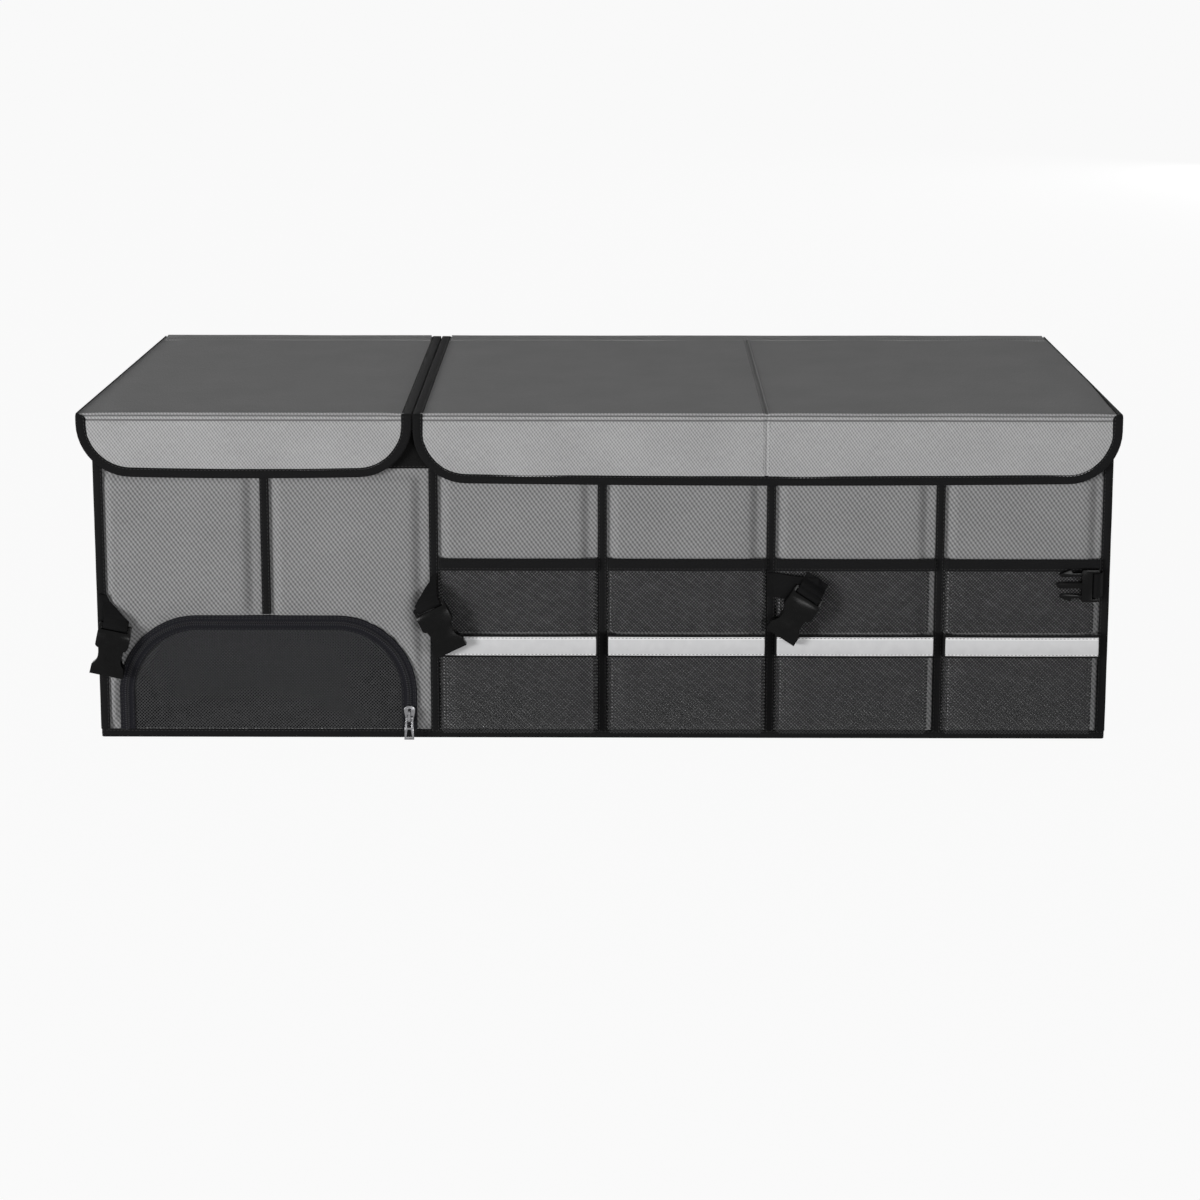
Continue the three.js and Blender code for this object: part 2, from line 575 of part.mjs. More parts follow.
const crownShape = outline(
  [plateFront + SLIDER_PLATE / 2, crownLow],
  [plateFront + SLIDER_PLATE / 2, crownHigh],
  [crownFront + CROWN_WIRE, crownHigh - CROWN_WIRE],
  [crownFront, crownHigh - 2 * CROWN_WIRE],
  [crownFront, crownLow + CROWN_WIRE / 2],
  [crownFront + CROWN_WIRE / 2, crownLow],
);
const crownEye = outline(
  [plateFront, crownLow + CROWN_WIRE],
  [plateFront, crownHigh - 2 * CROWN_WIRE],
  [crownFront + CROWN_WIRE, crownHigh - 3 * CROWN_WIRE],
  [crownFront + CROWN_WIRE, crownLow + CROWN_WIRE],
);
const crownSides = [sliderX - CROWN_WIDTH / 2, sliderX + CROWN_WIDTH / 2];
const crown = solid(profile(crownShape, ...crownSides)).subtract(
  solid(profile(crownEye, crownSides[0] - 1, crownSides[1] + 1)),
);
const rearPlateLeft = sliderX - SLIDER_WIDTH / 2;
const slider = solid(frontal(plateOutline, plateFront, plateBack))
  .add(solid(block(postLeft, postRight, plateBack - SLIDER_PLATE / 2, rearBack, postLow, postHigh)))
  .add(solid(block(rearPlateLeft, postRight, rearFront, rearBack, postLow, postHigh)))
  .add(crown);
place("zip_slider", surface(slider), ZIP_METAL);

// Zip pull: a tapering open frame whose top bar lies in the crown, bent forward to clear the hem
const PULL_AXIS_Y = plateFront - CROWN_RISE / 2 + CROWN_WIRE / 2;
const PULL_AXIS_Z = crownLow + CROWN_WIRE + PULL_BAR + PULL_PLAY;
const pullInner = DOOR_AXIS_Y - PULL_STAND_OFF;
const pullBend = PULL_AXIS_Z - PULL_EYE;
const pullSide = new THREE.Shape();
pullSide.absarc(PULL_AXIS_Y, PULL_AXIS_Z, PULL_BAR, 0, Math.PI, false);
pullSide.lineTo(pullInner - PULL_THICKNESS, pullBend);
pullSide.lineTo(pullInner - PULL_THICKNESS, PULL_END);
pullSide.lineTo(pullInner, PULL_END);
pullSide.lineTo(pullInner, pullBend);
const pullWidths = outline(
  [sliderX - PULL_END_WIDTH / 2, PULL_END - 1],
  [sliderX + PULL_END_WIDTH / 2, PULL_END - 1],
  [sliderX + PULL_TOP_WIDTH / 2, PULL_AXIS_Z + 2 * PULL_BAR],
  [sliderX - PULL_TOP_WIDTH / 2, PULL_AXIS_Z + 2 * PULL_BAR],
);
const windowTopHalf = PULL_TOP_WIDTH / 2 - PULL_FRAME;
const windowHalf = PULL_END_WIDTH / 2 - PULL_FRAME;
const eyeHalf = windowTopHalf + PULL_TAPER;
const eyeLow = pullBend - PULL_NECK;
const pullFar = [pullInner - 2 * PULL_THICKNESS, PULL_AXIS_Y + 2 * PULL_BAR];
const pullWindow = outline(
  [sliderX - windowHalf, PULL_END + PULL_FRAME],
  [sliderX + windowHalf, PULL_END + PULL_FRAME],
  [sliderX + windowTopHalf, eyeLow - PULL_FRAME],
  [sliderX - windowTopHalf, eyeLow - PULL_FRAME],
);
const pullEye = block(sliderX - eyeHalf, sliderX + eyeHalf, ...pullFar, eyeLow, PULL_AXIS_Z - PULL_BAR);
const pull = solid(profile(pullSide, sliderX - PULL_END_WIDTH, sliderX + PULL_END_WIDTH))
  .intersect(solid(frontal(pullWidths, ...pullFar)))
  .subtract(solid(pullEye))
  .subtract(solid(frontal(pullWindow, ...pullFar)));
place("zip_pull", surface(pull), ZIP_METAL);

// Lid: a board top and a flap in one cloth cover, with a binding round its edges
function flapOutline(left, right, bottom, radius, top) {
  const shape = new THREE.Shape();
  shape.moveTo(left, top);
  shape.lineTo(left, bottom + radius);
  shape.absarc(left + radius, bottom + radius, radius, Math.PI, 1.5 * Math.PI, false);
  shape.absarc(right - radius, bottom + radius, radius, 1.5 * Math.PI, 2 * Math.PI, false);
  shape.lineTo(right, top);
  return shape;
}

function lid(name, leftFront, leftBack, rightFront, rightBack, flapBottom, seamX) {
  const above = LID_TOP + 1;
  const fold = new THREE.Shape();
  fold.moveTo(BACK, LID_BOTTOM);
  fold.lineTo(BACK, LID_TOP);
  fold.absarc(FLAP_FRONT + FOLD_RADIUS, LID_TOP - FOLD_RADIUS, FOLD_RADIUS, Math.PI / 2, Math.PI, false);
  fold.lineTo(FLAP_FRONT, flapBottom - 1);
  fold.lineTo(FLAP_BACK, flapBottom - 1);
  fold.lineTo(FLAP_BACK, LID_BOTTOM);
  const inLeft = leftFront + LID_BINDING;
  const inRight = rightFront - LID_BINDING;
  const leftWidth = leftBack === leftFront ? LID_BINDING : LID_BACK_BINDING;
  const rightWidth = rightBack === rightFront ? LID_BINDING : LID_BACK_BINDING;
  const top = outline(
    [inLeft, FLAP_FRONT],
    [inRight, FLAP_FRONT],
    [rightBack - rightWidth, BACK],
    [leftBack + leftWidth, BACK],
  );
  const flapFace = flapOutline(inLeft, inRight, flapBottom, FLAP_CORNER, above);
  const span = [leftFront - 1, rightFront + 1];
  const section = solid(profile(fold, ...span, 4));
  const board = section.intersect(solid(plan(top, LID_BOTTOM, above)));
  const flap = section.intersect(solid(frontal(flapFace, FLAP_FRONT - 1, FLAP_BACK, FLAP_SEGMENTS)));
  let cover = board.add(flap);
  if (seamX !== undefined) {
    const seam = [seamX - SEAM_WIDTH / 2, seamX + SEAM_WIDTH / 2];
    cover = cover
      .subtract(solid(block(...seam, FLAP_FRONT - 1, BACK + 1, LID_TOP - SEAM_DEPTH, above)))
      .subtract(solid(block(...seam, FLAP_FRONT - 1, FLAP_FRONT + SEAM_DEPTH, flapBottom - 1, above)));
  }
  place(`${name}_cover`, surface(cover), LID_CLOTH);

  const bandFront = FLAP_FRONT - LID_BINDING_PROUD;
  const bandTop = LID_TOP + LID_BINDING_PROUD;
  const gap = LAYER_GAP;
  const bandLow = flapBottom - LID_BINDING;
  const outerFace = flapOutline(leftFront, rightFront, bandLow, FLAP_CORNER + LID_BINDING, bandTop);
  const innerFace = flapOutline(inLeft - gap, inRight + gap, flapBottom - gap, FLAP_CORNER + gap, above + 1);
  const edge = (a, b, side, back) => outline(
    [a, bandFront],
    [a + side * (LID_BINDING - gap), bandFront],
    [b + side * (back - gap), BACK],
    [b, BACK],
  );
  const band = solid(frontal(outerFace, bandFront, FLAP_BACK, FLAP_SEGMENTS))
    .subtract(solid(frontal(innerFace, bandFront - 1, FLAP_BACK + 1, FLAP_SEGMENTS)))
    .add(solid(plan(edge(leftFront, leftBack, 1, leftWidth), LID_BOTTOM, bandTop)))
    .add(solid(plan(edge(rightFront, rightBack, -1, rightWidth), LID_BOTTOM, bandTop)));
  place(`${name}_binding`, surface(band), BLACK_TAPE);

  const hookFront = FLAP_BACK + LAYER_GAP;
  const hookBack = loopFront - HOOK_LOOP_GAP;
  const hookLow = LOOP_BAND_BOTTOM + LAYER_GAP + FLAP_CLEARANCE;
  const hookSpan = [inLeft + HOOK_STRIP_INSET, inRight - HOOK_STRIP_INSET];
  const hookStrip = block(...hookSpan, hookFront, hookBack, hookLow, hookLow + HOOK_STRIP_HEIGHT);
  place(`${name}_hook_strip`, hookStrip, LINING);
}

const partingX = BAY_X - LID_PARTING_OFFSET;
const partLeft = partingX - LID_PARTING / 2;
const partRight = partingX + LID_PARTING / 2;
const leftEdge = LEFT - LID_LEFT_OVERHANG;
const rightEdge = RIGHT + LID_RIGHT_OVERHANG;
lid("lid_left", leftEdge, LEFT - LID_BACK_OVERHANG, partLeft, partLeft, HEIGHT - FLAP_DROP_LEFT);
const rightBackEdge = RIGHT + LID_BACK_OVERHANG;
const seamPlace = DIVIDER_X - LID_SEAM_OFFSET;
lid("lid_right", partRight, partRight, rightEdge, rightBackEdge, HEIGHT - FLAP_DROP_RIGHT, seamPlace);

const barGeometry = (railIn) =>
  new THREE.CylinderGeometry(BAR_RADIUS, BAR_RADIUS, 2 * railIn + 1, BAR_SEGMENTS).rotateZ(Math.PI / 2);

// Side-release buckle socket, drawn hanging from its webbing bar with the bar's middle at the origin
function socketSolid() {
  const half = BUCKLE_WIDTH / 2;
  const waist = SOCKET_WAIST / 2;
  const top = BAR_RADIUS;
  const windowEnd = SOCKET_WINDOW_TOP + SOCKET_WINDOW_LENGTH;
  const body = new THREE.Shape();
  const grip = SOCKET_GRIP_CURVE;
  const corner = SOCKET_CORNER;
  const neck = SOCKET_WINDOW_TOP + corner;
  body.moveTo(-half + corner, top);
  body.lineTo(half - corner, top);
  body.lineTo(half, top - corner);
  body.lineTo(half, -SOCKET_WINDOW_TOP + 2 * corner);
  body.quadraticCurveTo(half, -SOCKET_WINDOW_TOP, waist, -neck);
  body.bezierCurveTo(waist - 2 * corner, grip - windowEnd, waist - corner, -windowEnd, half, -windowEnd - grip);
  body.lineTo(half + SOCKET_FLARE, -SOCKET_LENGTH);
  body.lineTo(-half - SOCKET_FLARE, -SOCKET_LENGTH);
  body.lineTo(-half, -windowEnd - grip);
  body.bezierCurveTo(corner - waist, -windowEnd, 2 * corner - waist, grip - windowEnd, -waist, -neck);
  body.quadraticCurveTo(-half, -SOCKET_WINDOW_TOP, -half, -SOCKET_WINDOW_TOP + 2 * corner);
  body.lineTo(-half, top - corner);

  const thick = SOCKET_THICKNESS / 2;
  const slotEnd = BAR_RADIUS + 2 * BAR_GAP + WEBBING_THICKNESS;
  const shoulder = slotEnd + SOCKET_SHOULDER;
  const bulge = new THREE.Shape();
  bulge.moveTo(-BAR_RADIUS, top);
  bulge.lineTo(-BAR_RADIUS, -slotEnd + corner);
  bulge.quadraticCurveTo(-thick, -slotEnd - 2 * corner, -thick, -shoulder);
  bulge.lineTo(-thick, -windowEnd);
  bulge.lineTo(-thick + corner, -SOCKET_LENGTH);
  bulge.lineTo(thick - corner, -SOCKET_LENGTH);
  bulge.lineTo(thick, -windowEnd);
  bulge.lineTo(thick, -shoulder);
  bulge.quadraticCurveTo(thick, -slotEnd - 2 * corner, BAR_RADIUS, -slotEnd + corner);
  bulge.lineTo(BAR_RADIUS, top);

  const railIn = half - BAR_RAIL;
  const barSlot = block(-railIn, railIn, -2 * thick, 2 * thick, -slotEnd, top + 1);
  const bar = barGeometry(railIn);
  const room = thick - corner - SOCKET_WALL / 2;
  const cavityTop = -slotEnd - 2 * SOCKET_WALL;
  const cavityHalf = SOCKET_CAVITY_WIDTH / 2;
  const cavity = block(-cavityHalf, cavityHalf, -room, room, -SOCKET_LENGTH - 1, cavityTop);
  const windows = block(-half - 1, half + 1, -room, room, -windowEnd - 1, -SOCKET_WINDOW_TOP);
  return solid(frontal(body, -thick - 1, thick + 1, 5))
    .intersect(solid(profile(bulge, -half - 2, half + 2, 3)))
    .subtract(solid(barSlot))
    .add(solid(bar))
    .subtract(solid(cavity))
    .subtract(solid(windows));
}

// Side-release buckle plug, drawn with its bar at the origin and its guide and barbed arms pointing down
function plugSolid() {
  const half = BUCKLE_WIDTH / 2;
  const slotEnd = BAR_RADIUS + 2 * BAR_GAP + WEBBING_THICKNESS;
  const baseEnd = slotEnd + PLUG_BASE_LENGTH;
  const tip = baseEnd + PLUG_ARM_LENGTH;
  const railIn = half - BAR_RAIL;
  const baseHalf = PLUG_BASE_THICKNESS / 2;
  const bar = barGeometry(railIn);
  const base = solid(block(-half, half, -baseHalf, baseHalf, -baseEnd, BAR_RADIUS))
    .subtract(solid(block(-railIn, railIn, -2 * baseHalf, 2 * baseHalf, -slotEnd, BAR_RADIUS + 1)))
    .add(solid(bar));
  const guide = outline(
    [-PLUG_GUIDE_WIDTH / 2, -baseEnd + 1],
    [-PLUG_GUIDE_WIDTH / 2, -tip],
    [-PLUG_GUIDE_WIDTH / 4, -tip - 2],
    [PLUG_GUIDE_WIDTH / 4, -tip - 2],
    [PLUG_GUIDE_WIDTH / 2, -tip],
    [PLUG_GUIDE_WIDTH / 2, -baseEnd + 1],
  );
  const armRoot = SOCKET_CAVITY_WIDTH / 2 - PLUG_ARM_WIDTH;
  const armTop = 1 - baseEnd;
  const barbTop = -baseEnd - PLUG_ARM_LENGTH / 2;
  const arm = (side) => {
    const across = (x) => side * (armRoot + x);
    const shape = new THREE.Shape();
    shape.moveTo(across(0), armTop);
    shape.quadraticCurveTo(across(-PLUG_ARM_BOW), barbTop, across(-1), 2 - tip);
    shape.quadraticCurveTo(across(PLUG_TIP_ROUND), -tip - PLUG_TIP_ROUND, across(2), 1 - tip);
    shape.lineTo(across(PLUG_ARM_WIDTH + PLUG_BARB - 1), barbTop);
    shape.lineTo(across(PLUG_ARM_WIDTH - PLUG_TIP_ROUND), barbTop + PLUG_ARM_BOW);
    shape.quadraticCurveTo(across(2), -baseEnd - PLUG_ARM_LENGTH / 4, across(PLUG_ARM_WIDTH), armTop);
    return shape;
  };
  const armHalf = PLUG_ARM_THICKNESS / 2;
  const prongs = [guide, arm(-1), arm(1)].map((shape) => solid(frontal(shape, -armHalf, armHalf, 4)));
  return prongs.reduce((plug, prong) => plug.add(prong), base);
}

// Webbing strap of one buckle: an eye round the bar, then a doubled tail that narrows to its sewn end.
// The sewn end's middle is at endX, endZ and its wall side at seatY, measured from the bar.
function strapSolid(endX, endZ, seatY, endWidth) {
  const eyeIn = BAR_RADIUS + BAR_GAP;
  const eyeOut = eyeIn + WEBBING_THICKNESS;
  const leave = endZ * STRAP_LEAVES;
  const land = endZ * STRAP_LANDS;
  const narrow = endZ * STRAP_NARROWS;
  const tail = outline(
    [-WEBBING_THICKNESS, 0],
    [-WEBBING_THICKNESS, leave],
    [seatY - 2 * WEBBING_THICKNESS, land],
    [seatY - 2 * WEBBING_THICKNESS, endZ],
    [seatY, endZ],
    [seatY, land - WEBBING_THICKNESS],
    [WEBBING_THICKNESS, leave - WEBBING_THICKNESS],
    [WEBBING_THICKNESS, 0],
  );
  const half = WEBBING_WIDTH / 2;
  const eye = new THREE.CylinderGeometry(eyeOut, eyeOut, 2 * half, EYE_SEGMENTS).rotateZ(Math.PI / 2);
  const bore = new THREE.CylinderGeometry(eyeIn, eyeIn, 2 * half + 2, EYE_SEGMENTS).rotateZ(Math.PI / 2);
  const reach = half + Math.abs(endX);
  const width = outline(
    [-half, -eyeOut - 1],
    [half, -eyeOut - 1],
    [half, narrow],
    [endX * STRAP_LANDS + endWidth / 2, land],
    [endX + endWidth / 2, endZ + 1],
    [endX - endWidth / 2, endZ + 1],
    [endX * STRAP_LANDS - endWidth / 2, land],
    [-half, narrow],
  );
  return solid(eye)
    .add(solid(profile(tail, -reach, reach)))
    .subtract(solid(bore))
    .intersect(solid(frontal(width, -2 * seatY, 2 * seatY)));
}

// One buckle half on the front: it hangs from its strap at a bar beside an upright and leans as it lies in use
function hang(name, uprightX, hanging, buckle, strap) {
  const lean = THREE.MathUtils.degToRad(hanging.lean);
  const group = new THREE.Group();
  group.position.set(uprightX + hanging.across, FRONT - hanging.standOff, HEIGHT - hanging.drop);
  group.rotation.y = lean;
  organizer.add(group);
  place(name, surface(buckle), BUCKLE_PLASTIC, group);
  const seatY = TAPE_FRONT - LAYER_GAP - (FRONT - hanging.standOff);
  place(`${name}_strap`, surface(strap(hanging, lean, seatY)), BLACK_TAPE, group);
}

// A strap that runs straight from its sewn end down to the bar
const straightStrap = (endWidth) => ({ endX, endZ }, lean, seatY) => {
  const alongX = endX * Math.cos(lean) - endZ * Math.sin(lean);
  const alongZ = endX * Math.sin(lean) + endZ * Math.cos(lean);
  return strapSolid(alongX, alongZ, seatY, endWidth);
};

// A strap folded over: a level run from the tape passes behind the buckle's top and turns down into the eye
function foldedStrap({ endX, endZ }, lean, seatY) {
  const doubled = 2 * WEBBING_THICKNESS;
  const runFront = SOCKET_THICKNESS / 2 + BOARD_GAP;
  const runBack = runFront + doubled;
  const seatHalf = TAPE_WIDTH / 2 - BOARD_GAP;
  const clear = TAPE_WIDTH / 2 + POCKET_PINCH + POCKET_SIDE_SLOPE;
  const run = outline(
    [endX - seatHalf, seatY],
    [endX - seatHalf, seatY - doubled],
    [endX + seatHalf, seatY - doubled],
    [endX + clear, runFront],
    [FOLD_REACH, runFront],
    [FOLD_REACH, runBack],
    [endX + clear + 1, runBack],
    [endX + seatHalf + 1, seatY],
  );
  const level = plan(run, endZ - WEBBING_WIDTH / 2, endZ + WEBBING_WIDTH / 2).rotateY(-lean);
  return strapSolid(0, FOLD_DROP, runBack, WEBBING_WIDTH).add(solid(level));
}

hang("socket_left_end", LEFT, LEFT_END_HANG, socketSolid(), straightStrap(STRAP_ROOT_WIDTH));
hang("socket_bay", BAY_X, BAY_HANG, socketSolid(), straightStrap(STRAP_ROOT_WIDTH));
hang("socket_middle", DIVIDER_X, MIDDLE_HANG, socketSolid(), foldedStrap);
hang("plug_right_end", RIGHT, RIGHT_END_HANG, plugSolid(), straightStrap(WEBBING_WIDTH));

// Webbing carrying handle on each end wall: two sewn feet and a bow for the hand
for (const [side, sx] of [["left", -1], ["right", 1]]) {
  const wallX = RIGHT + SIDE_PAD_RISE + LAYER_GAP;
  const reach = HANDLE_SPAN / 2;
  const foot = reach - HANDLE_FOOT;
  const bend = foot - HANDLE_BOW;
  const bow = wallX + HANDLE_BOW;
  const loop = outline(
    [sx * wallX, -reach],
    [sx * wallX, -foot],
    [sx * bow, -bend],
    [sx * bow, bend],
    [sx * wallX, foot],
    [sx * wallX, reach],
    [sx * (wallX + HANDLE_THICKNESS), reach],
    [sx * (wallX + HANDLE_THICKNESS), foot],
    [sx * (bow + HANDLE_THICKNESS), bend],
    [sx * (bow + HANDLE_THICKNESS), -bend],
    [sx * (wallX + HANDLE_THICKNESS), -foot],
    [sx * (wallX + HANDLE_THICKNESS), -reach],
  );
  const low = HANDLE_HEIGHT - HANDLE_WIDTH / 2;
  place(`handle_${side}`, plan(loop, low, low + HANDLE_WIDTH), BLACK_TAPE);
}

export default organizer;
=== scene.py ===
"""Looks of a folding car trunk organizer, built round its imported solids, in metres and in the part's own frame."""
import math

import bmesh
import bpy
import numpy as np
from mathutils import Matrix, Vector, noise


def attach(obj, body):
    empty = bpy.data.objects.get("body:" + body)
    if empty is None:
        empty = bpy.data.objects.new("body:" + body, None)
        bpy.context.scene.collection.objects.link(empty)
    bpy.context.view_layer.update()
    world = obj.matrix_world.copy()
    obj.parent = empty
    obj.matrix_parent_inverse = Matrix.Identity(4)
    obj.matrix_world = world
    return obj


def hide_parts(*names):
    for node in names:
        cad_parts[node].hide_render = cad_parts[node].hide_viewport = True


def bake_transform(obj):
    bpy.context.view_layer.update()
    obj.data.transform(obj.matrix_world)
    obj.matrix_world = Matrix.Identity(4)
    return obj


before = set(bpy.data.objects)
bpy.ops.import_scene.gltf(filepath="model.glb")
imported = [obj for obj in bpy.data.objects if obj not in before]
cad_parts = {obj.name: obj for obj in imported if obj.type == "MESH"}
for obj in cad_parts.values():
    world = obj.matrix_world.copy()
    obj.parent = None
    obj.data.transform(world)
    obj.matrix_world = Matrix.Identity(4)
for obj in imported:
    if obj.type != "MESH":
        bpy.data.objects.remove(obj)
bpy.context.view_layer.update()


# Camera. It stands in front of the middle of the organizer, a little above the lids, with a long lens,
# so the lids show as a shallow wedge and the front stays square.
lens = bpy.data.cameras.new("camera")
lens.lens = 80.4
lens.sensor_width = 36
lens.shift_y = -0.2
camera = bpy.data.objects.new("camera", lens)
camera.location = (0.0135, -2.5175, 0.7627)
camera.rotation_euler = (math.pi / 2 - 0.1779, 0, 0.0067)
bpy.context.collection.objects.link(camera)
bpy.context.scene.camera = camera
bpy.context.scene.view_settings.view_transform = "Standard"


# Studio. A pale floor, a white surround and three soft lamps: the key stands low in front and to the left, so
# the upright cloth is bright, the lids are darker and each board shades off to its right. One lamp lights the back.
def show(tree, lit, seen, output, share=1.0):
    """Ends a tree: the lens and mirrors see this share of the second shader, and other light meets the first."""
    path, mix = tree.nodes.new("ShaderNodeLightPath"), tree.nodes.new("ShaderNodeMixShader")
    steps = [tree.nodes.new("ShaderNodeMath") for _ in range(3)]
    for step, operation in zip(steps, ("MAXIMUM", "MAXIMUM", "MULTIPLY")):
        step.operation = operation
    steps[2].inputs[1].default_value = share
    for source, place in ((path.outputs["Is Camera Ray"], steps[0].inputs[0]),
                          (path.outputs["Is Glossy Ray"], steps[0].inputs[1]),
                          (steps[0].outputs[0], steps[1].inputs[0]),
                          (path.outputs["Is Transmission Ray"], steps[1].inputs[1]),
                          (steps[1].outputs[0], steps[2].inputs[0]), (steps[2].outputs[0], mix.inputs[0]),
                          (lit.outputs[0], mix.inputs[1]), (seen.outputs[0], mix.inputs[2]),
                          (mix.outputs[0], output.inputs[0])):
        tree.links.new(source, place)


surround = bpy.data.worlds.new("surround")
surround.use_nodes = True
sky = surround.node_tree
sky.nodes.clear()
seen, lit = sky.nodes.new("ShaderNodeBackground"), sky.nodes.new("ShaderNodeBackground")
for shader, strength in ((seen, 1), (lit, 0.15)):
    shader.inputs["Strength"].default_value = strength
    shader.inputs["Color"].default_value = (1, 1, 1, 1)
show(sky, lit, seen, sky.nodes.new("ShaderNodeOutputWorld"))
bpy.context.scene.world = surround

FLOOR_HALF = 40
floor_mesh = bpy.data.meshes.new("floor")
floor_mesh.from_pydata([(x * FLOOR_HALF, y * FLOOR_HALF, 0) for x, y in ((-1, -1), (1, -1), (1, 1), (-1, 1))], [],
                       [(0, 1, 2, 3)])
floor = bpy.data.objects.new("floor", floor_mesh)
bpy.context.collection.objects.link(floor)
paint = bpy.data.materials.new("floor_paint")
paint.use_nodes = True
wash = paint.node_tree
wash.nodes.clear()
matt, glow = wash.nodes.new("ShaderNodeBsdfDiffuse"), wash.nodes.new("ShaderNodeEmission")
matt.inputs["Color"].default_value = (0.75, 0.75, 0.75, 1)
glow.inputs["Strength"].default_value = 1
show(wash, matt, glow, wash.nodes.new("ShaderNodeOutputMaterial"), 0.94)
floor_mesh.materials.append(paint)


def softbox(name, place, width, height, power):
    """A soft lamp that faces the middle of the organizer."""
    lamp = bpy.data.lights.new(name, "AREA")
    lamp.shape = "RECTANGLE"
    lamp.size, lamp.size_y = width, height
    lamp.energy = power
    box = bpy.data.objects.new(name, lamp)
    box.location = place
    box.rotation_euler = (Vector((0, 0, 0.15)) - Vector(place)).to_track_quat("-Z", "Y").to_euler()
    box.visible_camera = False
    bpy.context.collection.objects.link(box)


softbox("key", (-3.9, -3.4, 0.6), 1.7, 1.1, 186)
softbox("fill", (1.5, -3.9, 0.45), 2.0, 0.8, 52)
softbox("back_light", (2.8, 3.9, 0.17), 2.6, 0.3, 120)


# Cloth walls. Grey polyester in a plain weave is wrapped over stiff boards, one to a panel, and sewn
# through between them, so each panel stands out as a pad with soft edges. A dark lining backs it.
MM = 0.001
LEFT, RIGHT, FRONT, BACK, TOP = -450, 450, -200, 200, 292
WALL, PANEL, BAY = 4, 150, -150
PAD_RISE, PAD_SLOPE, PAD_INSET, PAD_SHIFT, PAD_LOW, PAD_HIGH = 4.0, 10, 8, 3, 11, 245
END_PAD_RISE, END_PAD_INSET, END_PAD_HIGH = 1.2, 15, 280
ARCH_X, ARCH_HALF, ARCH_TOP, ARCH_RADIUS = -300, 133.5, 114, 72
HEM_TOP = 8.3


class Shade:
    """One socket of a material's node tree. Arithmetic on it adds Math nodes."""

    def __init__(self, tree, socket):
        self.tree, self.socket = tree, socket

    def node(self, kind, settings, sockets, output=0):
        """A node of that kind: its settings are made first, then its sockets get values or links."""
        made = self.tree.nodes.new("ShaderNode" + kind)
        for name, value in settings.items():
            setattr(made, name, value)
        for key, value in sockets.items():
            if isinstance(value, Shade):
                self.tree.links.new(value.socket, made.inputs[key])
            else:
                made.inputs[key].default_value = value
        return Shade(self.tree, made.outputs[output])

    def math(self, operation, first, second=0.0):
        """A Math node on one or two values."""
        return self.node("Math", {"operation": operation}, {0: first, 1: second})

    def __add__(self, other):
        return self.math("ADD", self, other)

    def __sub__(self, other):
        return self.math("SUBTRACT", self, other)

    def __rsub__(self, other):
        return self.math("SUBTRACT", other, self)

    def __mul__(self, other):
        return self.math("MULTIPLY", self, other)

    __radd__, __rmul__ = __add__, __mul__

    def sine(self):
        """The sine of this value in radians."""
        return self.math("SINE", self)

    def size(self):
        """This value without its sign."""
        return self.math("ABSOLUTE", self)

    def above(self, low, high):
        """0 under low, 1 over high, with a smooth rise between."""
        limits = {"Value": self, "From Min": low, "From Max": high}
        return self.node("MapRange", {"interpolation_type": "SMOOTHSTEP"}, limits)

    def speckle(self, scale, detail=2.0):
        """Noise over this vector."""
        return self.node("TexNoise", {}, {"Vector": self, "Scale": scale, "Detail": detail})

    def parts(self):
        """The first two numbers of this vector."""
        return [self.node("SeparateXYZ", {}, {"Vector": self}, k) for k in (0, 1)]

    def tint(self, dark, light):
        """A colour between two, by this factor."""
        return self.node("Mix", {"data_type": "RGBA"}, {0: self, 6: (*dark, 1), 7: (*light, 1)}, 2)


def blank(name):
    """A new material without nodes, and the way into its tree."""
    made = bpy.data.materials.new(name)
    made.use_nodes = True
    made.node_tree.nodes.clear()
    return made, Shade(made.node_tree, None)


def fabric(name):
    """A new material and its cloth coordinates, which count millimetres along and across the piece."""
    made, start = blank(name)
    return made, start.node("UVMap", {"uv_map": "cloth"}, {})


def solid_stuff(name):
    """A new material and the object's own coordinates in millimetres."""
    made, start = blank(name)
    place = start.node("TexCoord", {}, {}, 3)
    return made, place.node("VectorMath", {"operation": "SCALE"}, {0: place, "Scale": 1 / MM})


def dress(start, tone, height, depth, alpha=None, **surface):
    """Ends a material: tone is its colour, height its relief from 0 to 1 and depth that relief in millimetres."""
    sockets = {"Base Color": tone, "Specular IOR Level": surface.pop("gloss", 0.12),
               "Normal": start.node("Bump", {}, {"Height": height, "Strength": 1.0, "Distance": depth * MM})}
    if alpha is not None:
        sockets["Alpha"] = alpha
    for key, value in surface.items():
        sockets[key.replace("_", " ")] = value
    body = start.node("BsdfPrincipled", {}, sockets)
    out = body.tree.nodes.new("ShaderNodeOutputMaterial")
    body.tree.links.new(body.socket, out.inputs["Surface"])


